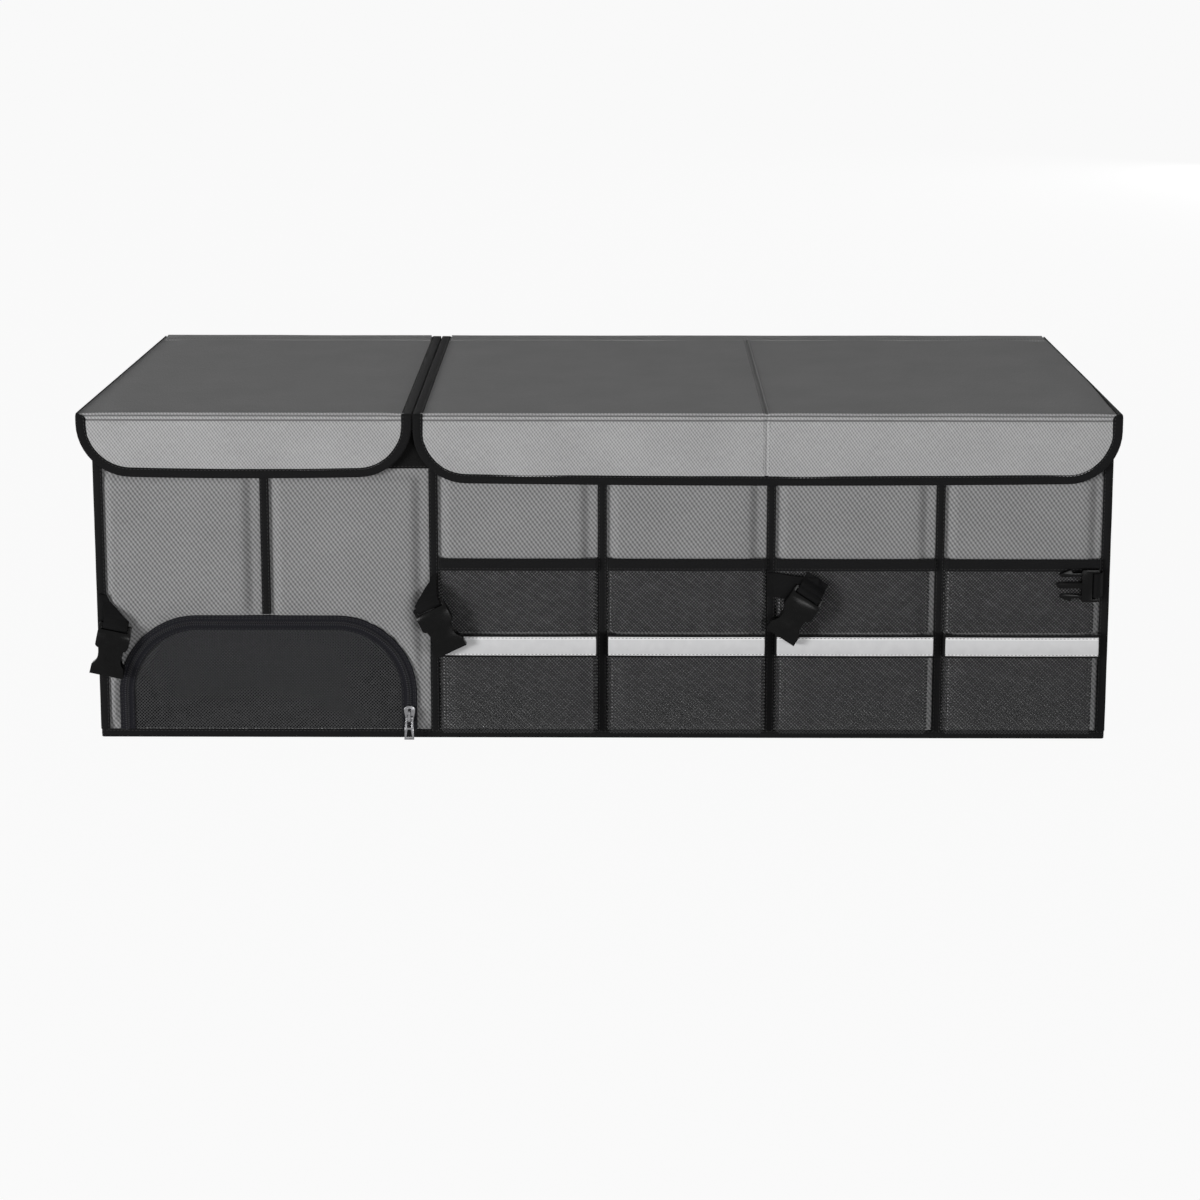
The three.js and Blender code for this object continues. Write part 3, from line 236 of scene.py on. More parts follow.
def plain_weave(name, wale, strength, dark, light, lean=1, painted_crease_shade=()):
    """Cloth of crossing yarns with slanting wales, uneven dye along the yarns and painted shade along pressed lines.
    """
    made, place = fabric(name)
    along, across = place.parts()
    yarn = math.pi / 0.66
    crown = (along * yarn).sine().size() * (across * yarn).sine().size()
    slant = ((along * 0.8 + across * (0.6 * lean)) * (2 * math.pi / wale)).sine()
    cross = ((along * 0.7 - across * (0.7 * lean)) * (2 * math.pi / wale)).sine()
    stretched = place.node("Mapping", {}, {"Vector": place, "Scale": (1.4, 0.16, 1)})
    uneven = stretched.speckle(1.2, 3.0)
    cloud = place.speckle(0.018, 2.0)
    tone = slant * strength + cross * (strength * 0.45) + crown * 0.12 + uneven * 0.4 + cloud * 0.14 + 0.18
    # Painted shade: the colour darkens along each pressed line, standing in for the shade a deep crease holds.
    for run in painted_crease_shade:
        tone = tone * ((across - run).size().above(0.25, 1.25) * 0.7 + 0.3)
    dress(place, tone.above(0.0, 1.0).tint(dark, light), crown * 0.6 + slant * 0.2 + uneven * 0.3, 0.16,
          Roughness=0.94 - crown * 0.1, Sheen_Weight=0.1, Sheen_Roughness=0.5)
    return made


grey_cloth = plain_weave("grey_cloth", 3.0, 0.22, (0.10, 0.10, 0.102), (0.38, 0.38, 0.382))


def lining_cloth():
    """Dark nonwoven lining of matted fibres."""
    made, place = solid_stuff("lining")
    fibres = place.speckle(0.9, 4.0)
    cloud = place.speckle(0.03, 2.0)
    tone = (fibres * 0.7 + cloud * 0.3).tint((0.008, 0.008, 0.0085), (0.04, 0.04, 0.042))
    dress(place, tone, fibres, 0.25, Roughness=0.96, Sheen_Weight=0.2)
    return made


lining = lining_cloth()


def rise(x, low, high):
    """0 below low, 1 above high, with a smooth rise between."""
    t = min(1, max(0, (x - low) / (high - low)))
    return t * t * (3 - 2 * t)


def pad(x, start, stop):
    """The section of one board under its cloth: 0 outside it and 1 over it."""
    return rise(x, start, start + PAD_SLOPE) * rise(stop - x, 0, PAD_SLOPE)


def ripple(x, y, seed, length=60):
    """A slow wave over cloth, from -1 to 1."""
    return noise.noise(Vector((x / length, y / length, seed)))


def arch_distance(x, z):
    """Distance outside the arch of the shoe door, negative inside it."""
    beside = abs(x - ARCH_X) - (ARCH_HALF - ARCH_RADIUS)
    over = z - (ARCH_TOP - ARCH_RADIUS)
    return math.hypot(max(beside, 0), max(over, 0)) + min(max(beside, over), 0) - ARCH_RADIUS


def piece(name, points, faces, uvs, materials, slots=None):
    """A closed or open mesh object from points in millimetres, with cloth coordinates in millimetres."""
    mesh = bpy.data.meshes.new(name)
    mesh.from_pydata([tuple(c * MM for c in point) for point in points], [], faces)
    layer = mesh.uv_layers.new(name="cloth")
    corners = np.empty(len(mesh.loops), dtype=np.int32)
    mesh.loops.foreach_get("vertex_index", corners)
    layer.data.foreach_set("uv", np.array(uvs, dtype=np.float32)[corners].ravel())
    for stuff in materials:
        mesh.materials.append(stuff)
    if slots:
        mesh.polygons.foreach_set("material_index", slots)
    tidy = bmesh.new()
    tidy.from_mesh(mesh)
    bmesh.ops.recalc_face_normals(tidy, faces=tidy.faces)
    tidy.to_mesh(mesh)
    tidy.free()
    mesh.shade_smooth()
    mesh.set_sharp_from_angle(angle=math.radians(38))
    made = bpy.data.objects.new(name, mesh)
    bpy.context.collection.objects.link(made)
    return made


def slab(name, us, vs, front, back, materials):
    """A closed board or sheet over a grid of cloth coordinates: a front, a back in the second material, four edges."""
    columns, half = len(us), len(us) * len(vs)
    points = [face(u, v) for face in (front, back) for v in vs for u in us]
    faces, slots = [], []
    for j in range(len(vs) - 1):
        for i in range(columns - 1):
            a = j * columns + i
            faces.append((a, a + 1, a + columns + 1, a + columns))
            faces.append((half + a, half + a + columns, half + a + columns + 1, half + a + 1))
            slots += [0, len(materials) - 1]
    rim = [*range(columns), *range(2 * columns - 1, half, columns), *range(half - 2, half - columns - 1, -1),
           *range(half - 2 * columns, 0, -columns)]
    for a, b in zip(rim, rim[1:] + rim[:1]):
        faces.append((a, half + a, half + b, b))
        slots.append(0)
    return piece(name, points, faces, [(u, v) for v in vs for u in us] * 2, materials, slots)


def settled(made):
    """The object with its modifiers worked into its mesh."""
    mesh = bpy.data.meshes.new_from_object(made.evaluated_get(bpy.context.evaluated_depsgraph_get()))
    made.modifiers.clear()
    old, made.data = made.data, mesh
    mesh.name = old.name
    bpy.data.meshes.remove(old)
    return made


def grid_lines(start, stop, inset):
    """Lines over one board: close together over its sloping edges and wide over its middle."""
    near = sorted({0, 2, 4, 6, *(inset + k for k in (-1, 0.5, 2, 3.5, 5, 6.5, 8, 10, 13, 18))})
    span = stop - start - 2 * near[-1]
    count = max(2, round(span / 9))
    middle = [start + near[-1] + span * k / count for k in range(1, count)]
    return [start + k for k in near] + middle + [stop - k for k in reversed(near)]


def joined(*runs):
    """Several rising runs of grid lines as one, without repeats."""
    return sorted(set(round(value, 4) for run in runs for value in run))


UPRIGHTS = joined([4, 8], grid_lines(8, 250, 5), [256, 264, 272, 280, 288, TOP])


def long_wall(name, first, last, outer, side):
    """A front or back wall: its boards push the cloth out on the given side."""
    def relief(x, z):
        """How far the cloth stands out: over its board, but not by the shoe door's arch."""
        board = LEFT + PANEL * min(last - 1, max(first, int((x - LEFT) // PANEL)))
        out = pad(x, board + PAD_INSET - PAD_SHIFT, board + PANEL - PAD_INSET - PAD_SHIFT) * pad(z, PAD_LOW, PAD_HIGH)
        up = min(1, max(0, (z - PAD_LOW) / (PAD_HIGH - PAD_LOW)))
        crown = math.sin(math.pi * (x - board) / PANEL) * math.sin(math.pi * up)
        out *= PAD_RISE + 0.5 * crown + 0.35 * ripple(x, z, 3 + side)
        if side < 0 and last == 2:
            out *= rise(arch_distance(x, z), 0.5, 7)
        return out

    lines = joined(*(grid_lines(LEFT + PANEL * k, LEFT + PANEL * (k + 1), PAD_INSET) for k in range(first, last)))
    return slab(name, lines, UPRIGHTS, lambda x, z: (x, outer + side * relief(x, z), z),
                lambda x, z: (x, outer - side * WALL, z), [grey_cloth, lining])


front_left = long_wall("cloth_front_left", 0, 2, FRONT, -1)


def arch_path(inset, foot):
    """Points up the right side of the door's arch, over its top and down the left, with the way in at each."""
    steps = 24
    radius, half, top = ARCH_RADIUS - inset, ARCH_HALF - inset, ARCH_TOP - inset
    path = [(ARCH_X + half, foot + (top - radius - foot) * k / 6, -1, 0) for k in range(6)]
    for middle, start in ((ARCH_X + half - radius, 0), (ARCH_X - half + radius, 90)):
        for k in range(steps + 1):
            turn = math.radians(start + 90 * k / steps)
            path.append((middle + radius * math.cos(turn), top - radius + radius * math.sin(turn),
                         -math.cos(turn), -math.sin(turn)))
        if start == 0:
            span = 2 * (half - radius)
            path += [(ARCH_X + span / 2 - span * k / 12, top, 0, -1) for k in range(1, 12)]
    path += [(ARCH_X - half, top - radius - (top - radius - foot) * k / 6, 1, 0) for k in range(1, 7)]
    return path


rim = arch_path(4, HEM_TOP + 0.3)
cutter_points = [(x, y, z) for y in (FRONT - 8, FRONT + 12) for x, z, _, _ in rim]
count = len(rim)
cutter_faces = [tuple(range(count)), tuple(reversed(range(count, 2 * count)))]
cutter_faces += [(k, (k + 1) % count, count + (k + 1) % count, count + k) for k in range(count)]
cutter = piece("doorway_cutter", cutter_points, cutter_faces, [(0, 0)] * (2 * count), [lining])
cut = front_left.modifiers.new("doorway", "BOOLEAN")
cut.operation, cut.object, cut.solver = "DIFFERENCE", cutter, "EXACT"
settled(front_left)
bpy.data.objects.remove(cutter)
for made, node in ((front_left, "front_wall_left"),
                   (long_wall("cloth_front_right", 2, 6, FRONT, -1), "front_wall_right"),
                   (long_wall("cloth_back_left", 0, 2, BACK, 1), "back_wall_left"),
                   (long_wall("cloth_back_right", 2, 6, BACK, 1), "back_wall_right")):
    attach(made, "box")
    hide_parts(node)


def end_wall(name, outer, side):
    """An end wall with two boards, as it folds along its middle."""
    def relief(y, z):
        """How far the cloth stands out over the front or the back board."""
        half = (FRONT + WALL, 0) if y < 0 else (0, BACK - WALL)
        return END_PAD_RISE * pad(y, half[0] + END_PAD_INSET, half[1] - END_PAD_INSET) * pad(z, PAD_LOW, END_PAD_HIGH)

    lines = joined(grid_lines(FRONT + WALL, 0, END_PAD_INSET), grid_lines(0, BACK - WALL, END_PAD_INSET))
    return slab(name, lines, UPRIGHTS, lambda y, z: (outer + side * relief(y, z), y, z),
                lambda y, z: (outer - side * WALL, y, z), [grey_cloth, lining])


for side, name, outer in ((-1, "left", LEFT), (1, "right", RIGHT)):
    made = end_wall(f"cloth_end_{name}", outer, side)
    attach(made, "box")
    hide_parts(f"end_wall_{name}")


# Bottom, inner boards and divider. The bottom is doubled black cloth; the loose boards, the divider, the
# shelf over the shoes and the wall of the shoe bay are stiff board in the same dark lining as the walls.
def softened(node, finish, width, segments=2):
    """A copy of a hard CAD piece with its edges rounded, as moulding, casting or a cloth wrap leaves them."""
    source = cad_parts[node].data
    mesh = source.copy()
    mesh.name = f"{node}_rounded"
    solid = bmesh.new()
    solid.from_mesh(mesh)
    bmesh.ops.remove_doubles(solid, verts=solid.verts, dist=1e-6)
    bmesh.ops.dissolve_limit(solid, angle_limit=math.radians(1.5), verts=solid.verts, edges=solid.edges)
    solid.to_mesh(mesh)
    solid.free()
    made = bpy.data.objects.new(mesh.name, mesh)
    bpy.context.collection.objects.link(made)
    rounding = made.modifiers.new("rounding", "BEVEL")
    rounding.width, rounding.segments, rounding.limit_method = width * MM, segments, "ANGLE"
    rounding.angle_limit = math.radians(32)
    settled(made)
    made.data.materials.clear()
    made.data.materials.append(finish)
    made.data.shade_smooth()
    made.data.set_sharp_from_angle(angle=math.radians(45))
    return made


for node in ("bottom_panel", "bay_wall", "base_board_left", "base_board_middle", "base_board_right", "divider",
             "shoe_shelf"):
    made = softened(node, lining, 0.9, 3)
    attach(made, "box")
    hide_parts(node)


# Tapes and bindings. Black ribbed tape is folded over every raw edge and sewn down: round the foot, round the
# rim, up the corners and up each line where two boards meet.
def ribbed_tape():
    """Tape with fine ribs across it."""
    made, place = fabric("black_tape")
    along, across = place.parts()
    rib = (along * (math.pi / 0.9)).sine().size()
    ply = (across * (math.pi / 0.5)).sine().size()
    lint = place.speckle(0.8, 4.0)
    tone = (rib * 0.35 + ply * 0.1 + lint * 0.55).above(0.1, 1.0)
    dress(place, tone.tint((0.003, 0.003, 0.0032), (0.017, 0.017, 0.0175)), rib * 0.8 + lint * 0.3, 0.12,
          gloss=0.04, Roughness=0.86 - rib * 0.08, Sheen_Weight=0.05, Sheen_Roughness=0.4)
    return made


black_tape = ribbed_tape()


def sweep(name, frames, section, stuff, looped=False):
    """A band: the closed section, in distances across and out, is carried along frames of point, across and out."""
    points, uvs, faces, far = [], [], [], 0.0
    ring = len(section)
    for k, (place, across, out) in enumerate(frames):
        if k:
            far += (place - frames[k - 1][0]).length
        points += [place + across * a + out * h for a, h in section]
        uvs += [(far, a * across.length + h) for a, h in section]
    steps = len(frames)
    for k in range(steps if looped else steps - 1):
        near, ahead = k * ring, (k + 1) % steps * ring
        faces += [(near + i, near + (i + 1) % ring, ahead + (i + 1) % ring, ahead + i) for i in range(ring)]
    if not looped:
        faces += [tuple(reversed(range(ring))), tuple(range((steps - 1) * ring, steps * ring))]
    return piece(name, points, faces, uvs, [stuff])


def tape_section(width, depth, groove=1.4):
    """Section of a sewn tape: rounded edges, and a shallow groove where each row of stitches pulls it down."""
    half = width / 2
    upper = [(-half, depth * 0.35), (-half + 0.15, depth - depth * 0.3), (-half + 0.5, depth - 0.05),
             (-half + groove - 0.5, depth), (-half + groove, depth - 0.22), (-half + groove + 0.6, depth),
             (0, depth + 0.05)]
    upper += [(-a, h) for a, h in reversed(upper[:-1])]
    return [(-half, 0)] + upper + [(half, 0)]


def straight(begin, finish, across, out, step=6):
    """Frames along a straight tape, which strays a little as sewn tape does."""
    begin, finish, across, out = (Vector(v) for v in (begin, finish, across, out))
    count = max(2, round((finish - begin).length / step))
    frames = []
    for k in range(count + 1):
        place = begin.lerp(finish, k / count)
        stray = 0 if k in (0, count) else 0.12 * ripple(place.x + place.y, place.z, 7.3, 18)
        frames.append((place + across * stray, across, out))
    return frames


def thread(name, dark, light):
    """Spun sewing thread."""
    made, place = solid_stuff(name)
    fibre = place.speckle(3.0, 3.0)
    dress(place, fibre.tint(dark, light), fibre, 0.1, Roughness=0.7, gloss=0.3)
    return made


def row_tree():
    """Geometry Nodes that set one small rounded piece again and again along a path of edges."""
    tree = bpy.data.node_groups.new("row_of_pieces", "GeometryNodeTree")
    sockets = tree.interface
    sockets.new_socket("Row", in_out="OUTPUT", socket_type="NodeSocketGeometry")
    for label, kind in (("Path", "Geometry"), ("Pitch", "Float"), ("Size", "Vector"), ("Facing", "Vector"),
                        ("Finish", "Material")):
        sockets.new_socket(label, in_out="INPUT", socket_type=f"NodeSocket{kind}")

    def node(kind, links, values=(), **settings):
        """A node of that kind with its settings, values and links."""
        made = tree.nodes.new(kind)
        for key, value in settings.items():
            setattr(made, key, value)
        for key, value in values:
            made.inputs[key].default_value = value
        for key, source in links.items():
            tree.links.new(source, made.inputs[key])
        return made

    sizes = node("NodeGroupInput", {}).outputs
    curve = node("GeometryNodeMeshToCurve", {"Mesh": sizes["Path"]}).outputs["Curve"]
    spaced = node("GeometryNodeResampleCurve", {"Curve": curve, "Length": sizes["Pitch"]},
                  mode="LENGTH").outputs["Curve"]
    way = node("GeometryNodeInputTangent", {}).outputs["Tangent"]
    ahead = node("FunctionNodeAlignRotationToVector", {"Vector": way}, axis="X").outputs["Rotation"]
    turned = node("FunctionNodeAlignRotationToVector", {"Rotation": ahead, "Vector": sizes["Facing"]}, axis="Z",
                  pivot_axis="X").outputs["Rotation"]
    bead = node("GeometryNodeMeshUVSphere", {}, (("Segments", 6), ("Rings", 4), ("Radius", 0.5))).outputs["Mesh"]
    row = node("GeometryNodeInstanceOnPoints", {"Points": spaced, "Instance": bead, "Rotation": turned,
                                                "Scale": sizes["Size"]}).outputs["Instances"]
    real = node("GeometryNodeRealizeInstances", {"Geometry": row}).outputs["Geometry"]
    finished = node("GeometryNodeSetMaterial", {"Geometry": real, "Material": sizes["Finish"]}).outputs["Geometry"]
    tree.links.new(finished, node("NodeGroupOutput", {}).inputs["Row"])
    return tree


ROW_TREE = row_tree()


def row(name, paths, pitch, size, finish, facing=(0, -1, 0)):
    """One mesh of small pieces along every path, in millimetres. Their size is along, across and high."""
    points = [tuple(c * MM for c in point) for path in paths for point in path]
    edges, first = [], 0
    for path in paths:
        edges += [(first + k, first + k + 1) for k in range(len(path) - 1)]
        first += len(path)
    mesh = bpy.data.meshes.new(name)
    mesh.from_pydata(points, edges, [])
    made = bpy.data.objects.new(name, mesh)
    bpy.context.collection.objects.link(made)
    nodes = made.modifiers.new("row", "NODES")
    nodes.node_group = ROW_TREE
    keys = {item.name: item.identifier for item in ROW_TREE.interface.items_tree if item.in_out == "INPUT"}
    nodes[keys["Pitch"]], nodes[keys["Size"]] = pitch * MM, tuple(c * MM for c in size)
    nodes[keys["Facing"]], nodes[keys["Finish"]] = facing, finish
    settled(made).data.shade_smooth()
    return made


def sew(name, paths, body, finish):
    """Rows of lockstitch on one body."""
    made = row(name, paths, 3.3, (2.2, 0.55, 0.5), finish)
    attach(made, body)


def beside(frames, *offsets):
    """Paths that keep their distances across and out from a band's frames."""
    return [[place + across * a + out * h for place, across, out in frames] for a, h in offsets]


black_thread = thread("black_thread", (0.008, 0.008, 0.008), (0.05, 0.05, 0.05))
X, Y, Z = Vector((1, 0, 0)), Vector((0, 1, 0)), Vector((0, 0, 1))
TAPE_FACE, TAPE_SEAT, LOOP_LOW, RIM_LOW = -203.2, -200.3, 248, 283.7
sewn_rows = []
for node, x, low in (("tape_shoe_bay", -300, 115.5), ("tape_pockets_1", BAY, HEM_TOP), ("tape_pockets_2", 0, HEM_TOP),
                     ("tape_pockets_3", 150, HEM_TOP), ("tape_pockets_4", 300, HEM_TOP)):
    frames = straight((x, TAPE_SEAT, low), (x, TAPE_SEAT, LOOP_LOW), X, -Y)
    made = sweep(f"sewn_{node}", frames, tape_section(8, TAPE_SEAT - TAPE_FACE), black_tape)
    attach(made, "box")
    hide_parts(node)
    sewn_rows += beside(frames, (-2.6, 2.75), (2.6, 2.75))

for end_name, sy in (("front", -1), ("back", 1)):
    for side, sx in (("left", -1), ("right", 1)):
        corner = [(6.8, 1.7), (6.8, 3.0), (6.4, 3.2), (5.6, 2.95), (5, 3.2), (0.5, 3.2), (-0.9, 2.6), (-1.6, 1.4),
                  (-1.8, 0), (-1.8, -6.4), (-1.55, -7.2), (-1.8, -8), (-1.6, -9), (-0.4, -9), (-0.3, 1.6)]
        frames = straight((sx * RIGHT, sy * BACK, HEM_TOP), (sx * RIGHT, sy * BACK, RIM_LOW), -X * sx, Y * sy)
        made = sweep(f"sewn_corner_{end_name}_{side}", frames, corner, black_tape)
        sewn_rows += beside(frames, (5.6, 3.05), (-1.65, -7.2))
        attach(made, "box")
        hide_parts(f"corner_binding_{end_name}_{side}")


def around(z):
    """Frames round the box at one height: up is across the tape, and its face looks out."""
    frames, grow, radius = [], 0.3, 1.5
    for cx, cy, start in ((1, -1, -90), (1, 1, 0), (-1, 1, 90), (-1, -1, 180)):
        for k in range(5):
            turn = math.radians(start + 22.5 * k)
            out = Vector((math.cos(turn), math.sin(turn), 0))
            hub = Vector((cx * (RIGHT + grow - radius), cy * (BACK + grow - radius), z))
            frames.append((hub + out * radius, Z, out))
        way, reach = {(1, -1): (Y, 400), (1, 1): (-X, 900), (-1, 1): (-Y, 400), (-1, -1): (X, 900)}[(cx, cy)]
        steps = round(reach / 8)
        begin = frames[-1][0]
        span = reach + 2 * (grow - radius)
        for k in range(1, steps):
            place = begin + way * span * k / steps
            frames.append((place + out * 0.1 * ripple(place.x, place.y, 5.1, 22), Z, out))
    return frames


hem_frames, brim_frames = around(4.2), around(288.6)
rim_section = [(-4.6, 0), (-4.5, 0.9), (-4, 1.2), (-3.2, 0.95), (-2.4, 1.2), (3.6, 1.2), (4.4, 0.8), (4.6, 0),
               (4.6, -3.6), (4.4, -4.3), (3.4, -4.3), (3.4, 0)]
for name, frames, section in (("hem", hem_frames, tape_section(7.6, 1.2)), ("rim", brim_frames, rim_section)):
    made = sweep(f"sewn_{name}", frames, section, black_tape, looped=True)
    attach(made, "box")
    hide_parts(f"{name}_binding")
bay_brim = sweep("sewn_bay_rim", straight((BAY, FRONT + WALL, TOP), (BAY, BACK - WALL, TOP), X, Z),
                 [(-2.3, -4), (-2.3, 0.8), (-1.6, 1.2), (1.6, 1.2), (2.3, 0.8), (2.3, -4)], black_tape)
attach(bay_brim, "box")
sewn_rows += [rows + rows[:1] for rows in beside(hem_frames, (2.4, 1.05)) + beside(brim_frames, (-3.2, 1.05))]
sew("box_stitches", sewn_rows, "box", black_thread)


# Touch fastener. A band of loop pile runs along the front under the flaps, and each flap carries a strip of
# hooks inside: both are woven black tape with a fuzzy face.
def pile():
    """Tape with a face of tangled loops."""
    made, place = solid_stuff("touch_fastener")
    loops = place.speckle(1.3, 5.0)
    dress(place, loops.tint((0.002, 0.002, 0.002), (0.014, 0.014, 0.014)), loops, 0.5, gloss=0.04, Roughness=0.97,
          Sheen_Weight=0.06)
    return made


touch_fastener = pile()
loop_band = sweep("loop_band", straight((-443, -200.3, 266), (443, -200.3, 266), Z, -Y, 10),
                  tape_section(35.4, 1.0), touch_fastener)
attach(loop_band, "box")
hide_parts("front_loop_band")
sew("loop_band_stitches", [[(x, -201.3, z) for x in range(-438, 440, 8)] for z in (250.4, 281.6)], "box", black_thread)
for body in ("lid_left", "lid_right"):
    made = softened(f"{body}_hook_strip", touch_fastener, 0.4)
    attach(made, body)
    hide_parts(f"{body}_hook_strip")


# Mesh pockets. Two rows of black knitted net stand off the front boards as shallow trays, pinched down under
# the upright tapes. A bound edge tops the upper row, and a flat tape with a reflective strip the lower one.
NET_PITCH = 2.97


def net(name, dark, light):
    """Knitted net: threads in a slanting lattice round open holes."""
    made, place = fabric(name)
    along, across = place.parts()
    turn = 2 * math.pi / NET_PITCH
    knots = (along * turn + math.pi / 2).sine() * (across * turn + math.pi / 2).sine()
    fuzz, strain = place.speckle(1.4, 3.0), place.speckle(0.13, 2.0)
    thread = 1.0 - (knots + fuzz * 0.2 + strain * 0.5 - 0.35).above(-0.02, 0.14)
    tone = (fuzz * 0.6 + (0.4 - knots * 0.4)).above(0.1, 1.0).tint(dark, light)
    dress(place, tone, fuzz * 0.4 - knots * 0.6, 0.3, thread, Roughness=0.8)
    return made


pocket_net = net("pocket_mesh", (0.005, 0.005, 0.0052), (0.036, 0.036, 0.037))
POCKETS = [(-145.5, -4.5), (4.5, 145.5), (154.5, 291.5), (304.5, 438.5)]
BANDS = [(-145.9, -4.1), (4.1, 145.9), (154.1, 295.9), (304.1, 442.9)]
STARTS, BAND_STOPS = (-153.7, 0.15, 150.15, 300.15), (-0.15, 149.85, 299.85, 449.7)
NET_STOPS = (-0.15, 149.85, 291.4, 438.4)
NET_SLOPE, BAND_SLOPE, NET_THICK = 3.6, 1.8, 0.5


def tray(x, bays, depth, slope, bow=0.0):
    """How far the pocket's cloth stands off the wall at x: pinched at the tapes, and bowed out between them."""
    for left, right in bays:
        if left <= x <= right:
            lift = rise(x, left, left + slope) * rise(right - x, 0, slope)
            return 0.7 + (depth - 0.7) * lift + bow * lift * math.sin(math.pi * (x - left) / (right - left))
    return 0.7


def tray_lines(bays, start, stop):
    """Grid lines along a run of pockets: close together over their sloping sides."""
    near = (0, 0.6, 1.2, 1.8, 2.7, 3.6, 5, 7, 11)
    lines = [start, stop]
    for left, right in bays:
        lines += [left + k for k in near] + [right - k for k in near]
        count = round((right - left - 22) / 7)
        lines += [left + 11 + (right - left - 22) * k / count for k in range(1, count)]
    return joined(lines)


def net_sheet(name, bays, start, stop, low, high, depth, seed):
    """The net of one or more pockets: it bows out towards its open top and dimples a little."""
    def face(x, z, inward=0.0):
        """A point of the net, moved in by its thickness for its back."""
        up = (z - low) / (high - low)
        sag = 0.6 * up + 0.35 * ripple(x, z, seed, 26)
        return (x, FRONT - tray(x, bays, depth, NET_SLOPE, sag) + inward, z)

    rows = [low + (high - low) * k / 9 for k in range(10)]
    return slab(name, tray_lines(bays, start, stop), rows, face, lambda x, z: face(x, z, NET_THICK), [pocket_net])


for name, bays, start, stop, wide in (("net_upper_left", POCKETS[:3], STARTS[0], NET_STOPS[2], 0.475),
                                      ("net_upper_right", POCKETS[3:], 301, NET_STOPS[3], 0.148)):
    made = net_sheet(name, bays, start, stop, 100.3, 158, 7.2, 11.5)
    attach(made, "box")
    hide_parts("upper_pocket_mesh")

bands = []
for name, bays, start, stop, low, high, depth, thick, groove in (
        ("upper_pocket_binding", BANDS, STARTS[0], BAND_STOPS[3], 157, 168, 6.8, 1.1, 2.0),
        *((f"lower_pocket_tape_{i + 1}", [bay], STARTS[i], BAND_STOPS[i], 79, 100, 12.7, 0.6, 1.4)
          for i, bay in enumerate(BANDS)),
        ("reflective_strip", BANDS, STARTS[0], BAND_STOPS[3], 81, 98, 13.4, 0.4, 1.0)):
    route = [(x, FRONT - tray(x, bays, depth, BAND_SLOPE, 0.6)) for x in tray_lines(bays, start, stop)]
    frames = []
    for k, (x, y) in enumerate(route):
        before, after = route[max(0, k - 1)], route[min(len(route) - 1, k + 1)]
        along = Vector((after[0] - before[0], after[1] - before[1], 0)).normalized()
        frames.append((Vector((x, y, (low + high) / 2)), Z, Vector((along.y, -along.x, 0))))
    bands.append((name, frames, tape_section(high - low, thick, groove=groove)))


def reflective():
    """Silver reflective tape: glass beads in a fine slanting grid, with a painted highlight as a paler line at each
    edge.
    """
    made, place = fabric("reflective_tape")
    along, across = place.parts()
    grid = ((along + across) * (math.pi / 0.9)).sine() * ((along - across) * (math.pi / 0.9)).sine()
    # Painted highlight: a paler line along each edge of the tape, where a bevel would catch the light.
    edge = across.size().above(6.2, 6.9)
    scuff = place.speckle(0.12, 5.0)
    tone = grid * 0.12 + edge * 0.35 + scuff * 0.25 + 0.2
    dress(place, tone.tint((0.42, 0.42, 0.43), (0.86, 0.86, 0.86)), grid, 0.03,
          gloss=0.4, Roughness=0.45 + scuff * 0.15, Metallic=0.1)
    return made


reflective_tape = reflective()
pocket_rows = []
for name, frames, section in bands:
    stuff, slot = (reflective_tape, "reflective_tape") if name == "reflective_strip" else (black_tape, "black_tape")
    made = sweep(f"sewn_{name}", frames, section, stuff)
    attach(made, "box")
    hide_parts(name)
    edge = -section[0][0]
    offsets = {"upper_pocket_binding": [(2 - edge, 1.0)], "reflective_strip": [(1 - edge, 0.3), (edge - 1, 0.3)]}
    pocket_rows += beside(frames, *offsets.get(name, []))
sew("pocket_stitches", pocket_rows, "box", black_thread)
for i, bay in enumerate(POCKETS):
    made = net_sheet(f"net_lower_{i + 1}", [bay], STARTS[i], NET_STOPS[i], 8.6, 80, 13.1, 20.5 + i)
    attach(made, "box")
    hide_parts(f"lower_pocket_mesh_{i + 1}")


# Shoe door. A net panel fills an arch in the front and folds down at its foot. A coil zip runs round the
# arch: one tape is sewn to the wall and the other to the net, with the teeth between them.
def zip_cloth():
    """Fine twill zip tape, a little bluish."""
    made, place = fabric("zip_tape")
    along, across = place.parts()
    twill = ((along + across) * (math.pi / 0.7)).sine().size()
    lint = place.speckle(0.9, 3.0)
    tone = (twill * 0.4 + lint * 0.6).tint((0.003, 0.003, 0.004), (0.015, 0.015, 0.0195))
    dress(place, tone, twill + lint * 0.3, 0.1, Roughness=0.82)
    return made


zip_tape = zip_cloth()
door_net = net("door_mesh", (0.007, 0.007, 0.0075), (0.058, 0.058, 0.06))
ZIP_FOOT, ZIP_WIDTH, ZIP_SPAN, DOOR_INSET = 8.6, 6.1, 13.1, 12


def tape_profile(depth):
    """Section of one zip tape: a thin edge sewn down, and a thick lip on the side of the teeth."""
    return [(0, 0), (0, 0.9 * depth), (0.5, depth), (1.2, depth - 0.2), (ZIP_WIDTH - 2.2, depth - 0.2),
            (ZIP_WIDTH - 1.4, depth), (ZIP_WIDTH - 0.3, depth * 0.9), (ZIP_WIDTH, depth * 0.3), (ZIP_WIDTH, 0)]


for name, y, section, body in (("outer", -200.3, tape_profile(3.1), "box"),
                               ("inner", -201.8, [(ZIP_SPAN - a, h) for a, h in tape_profile(1.7)], "shoe_door")):
    frames = [(Vector((x, y, z)), Vector((across, 0, up)), -Y) for x, z, across, up in arch_path(0, ZIP_FOOT)]
    made = sweep(f"zip_{name}", frames, section, zip_tape)
    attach(made, body)
    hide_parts(f"zip_tape_{name}")


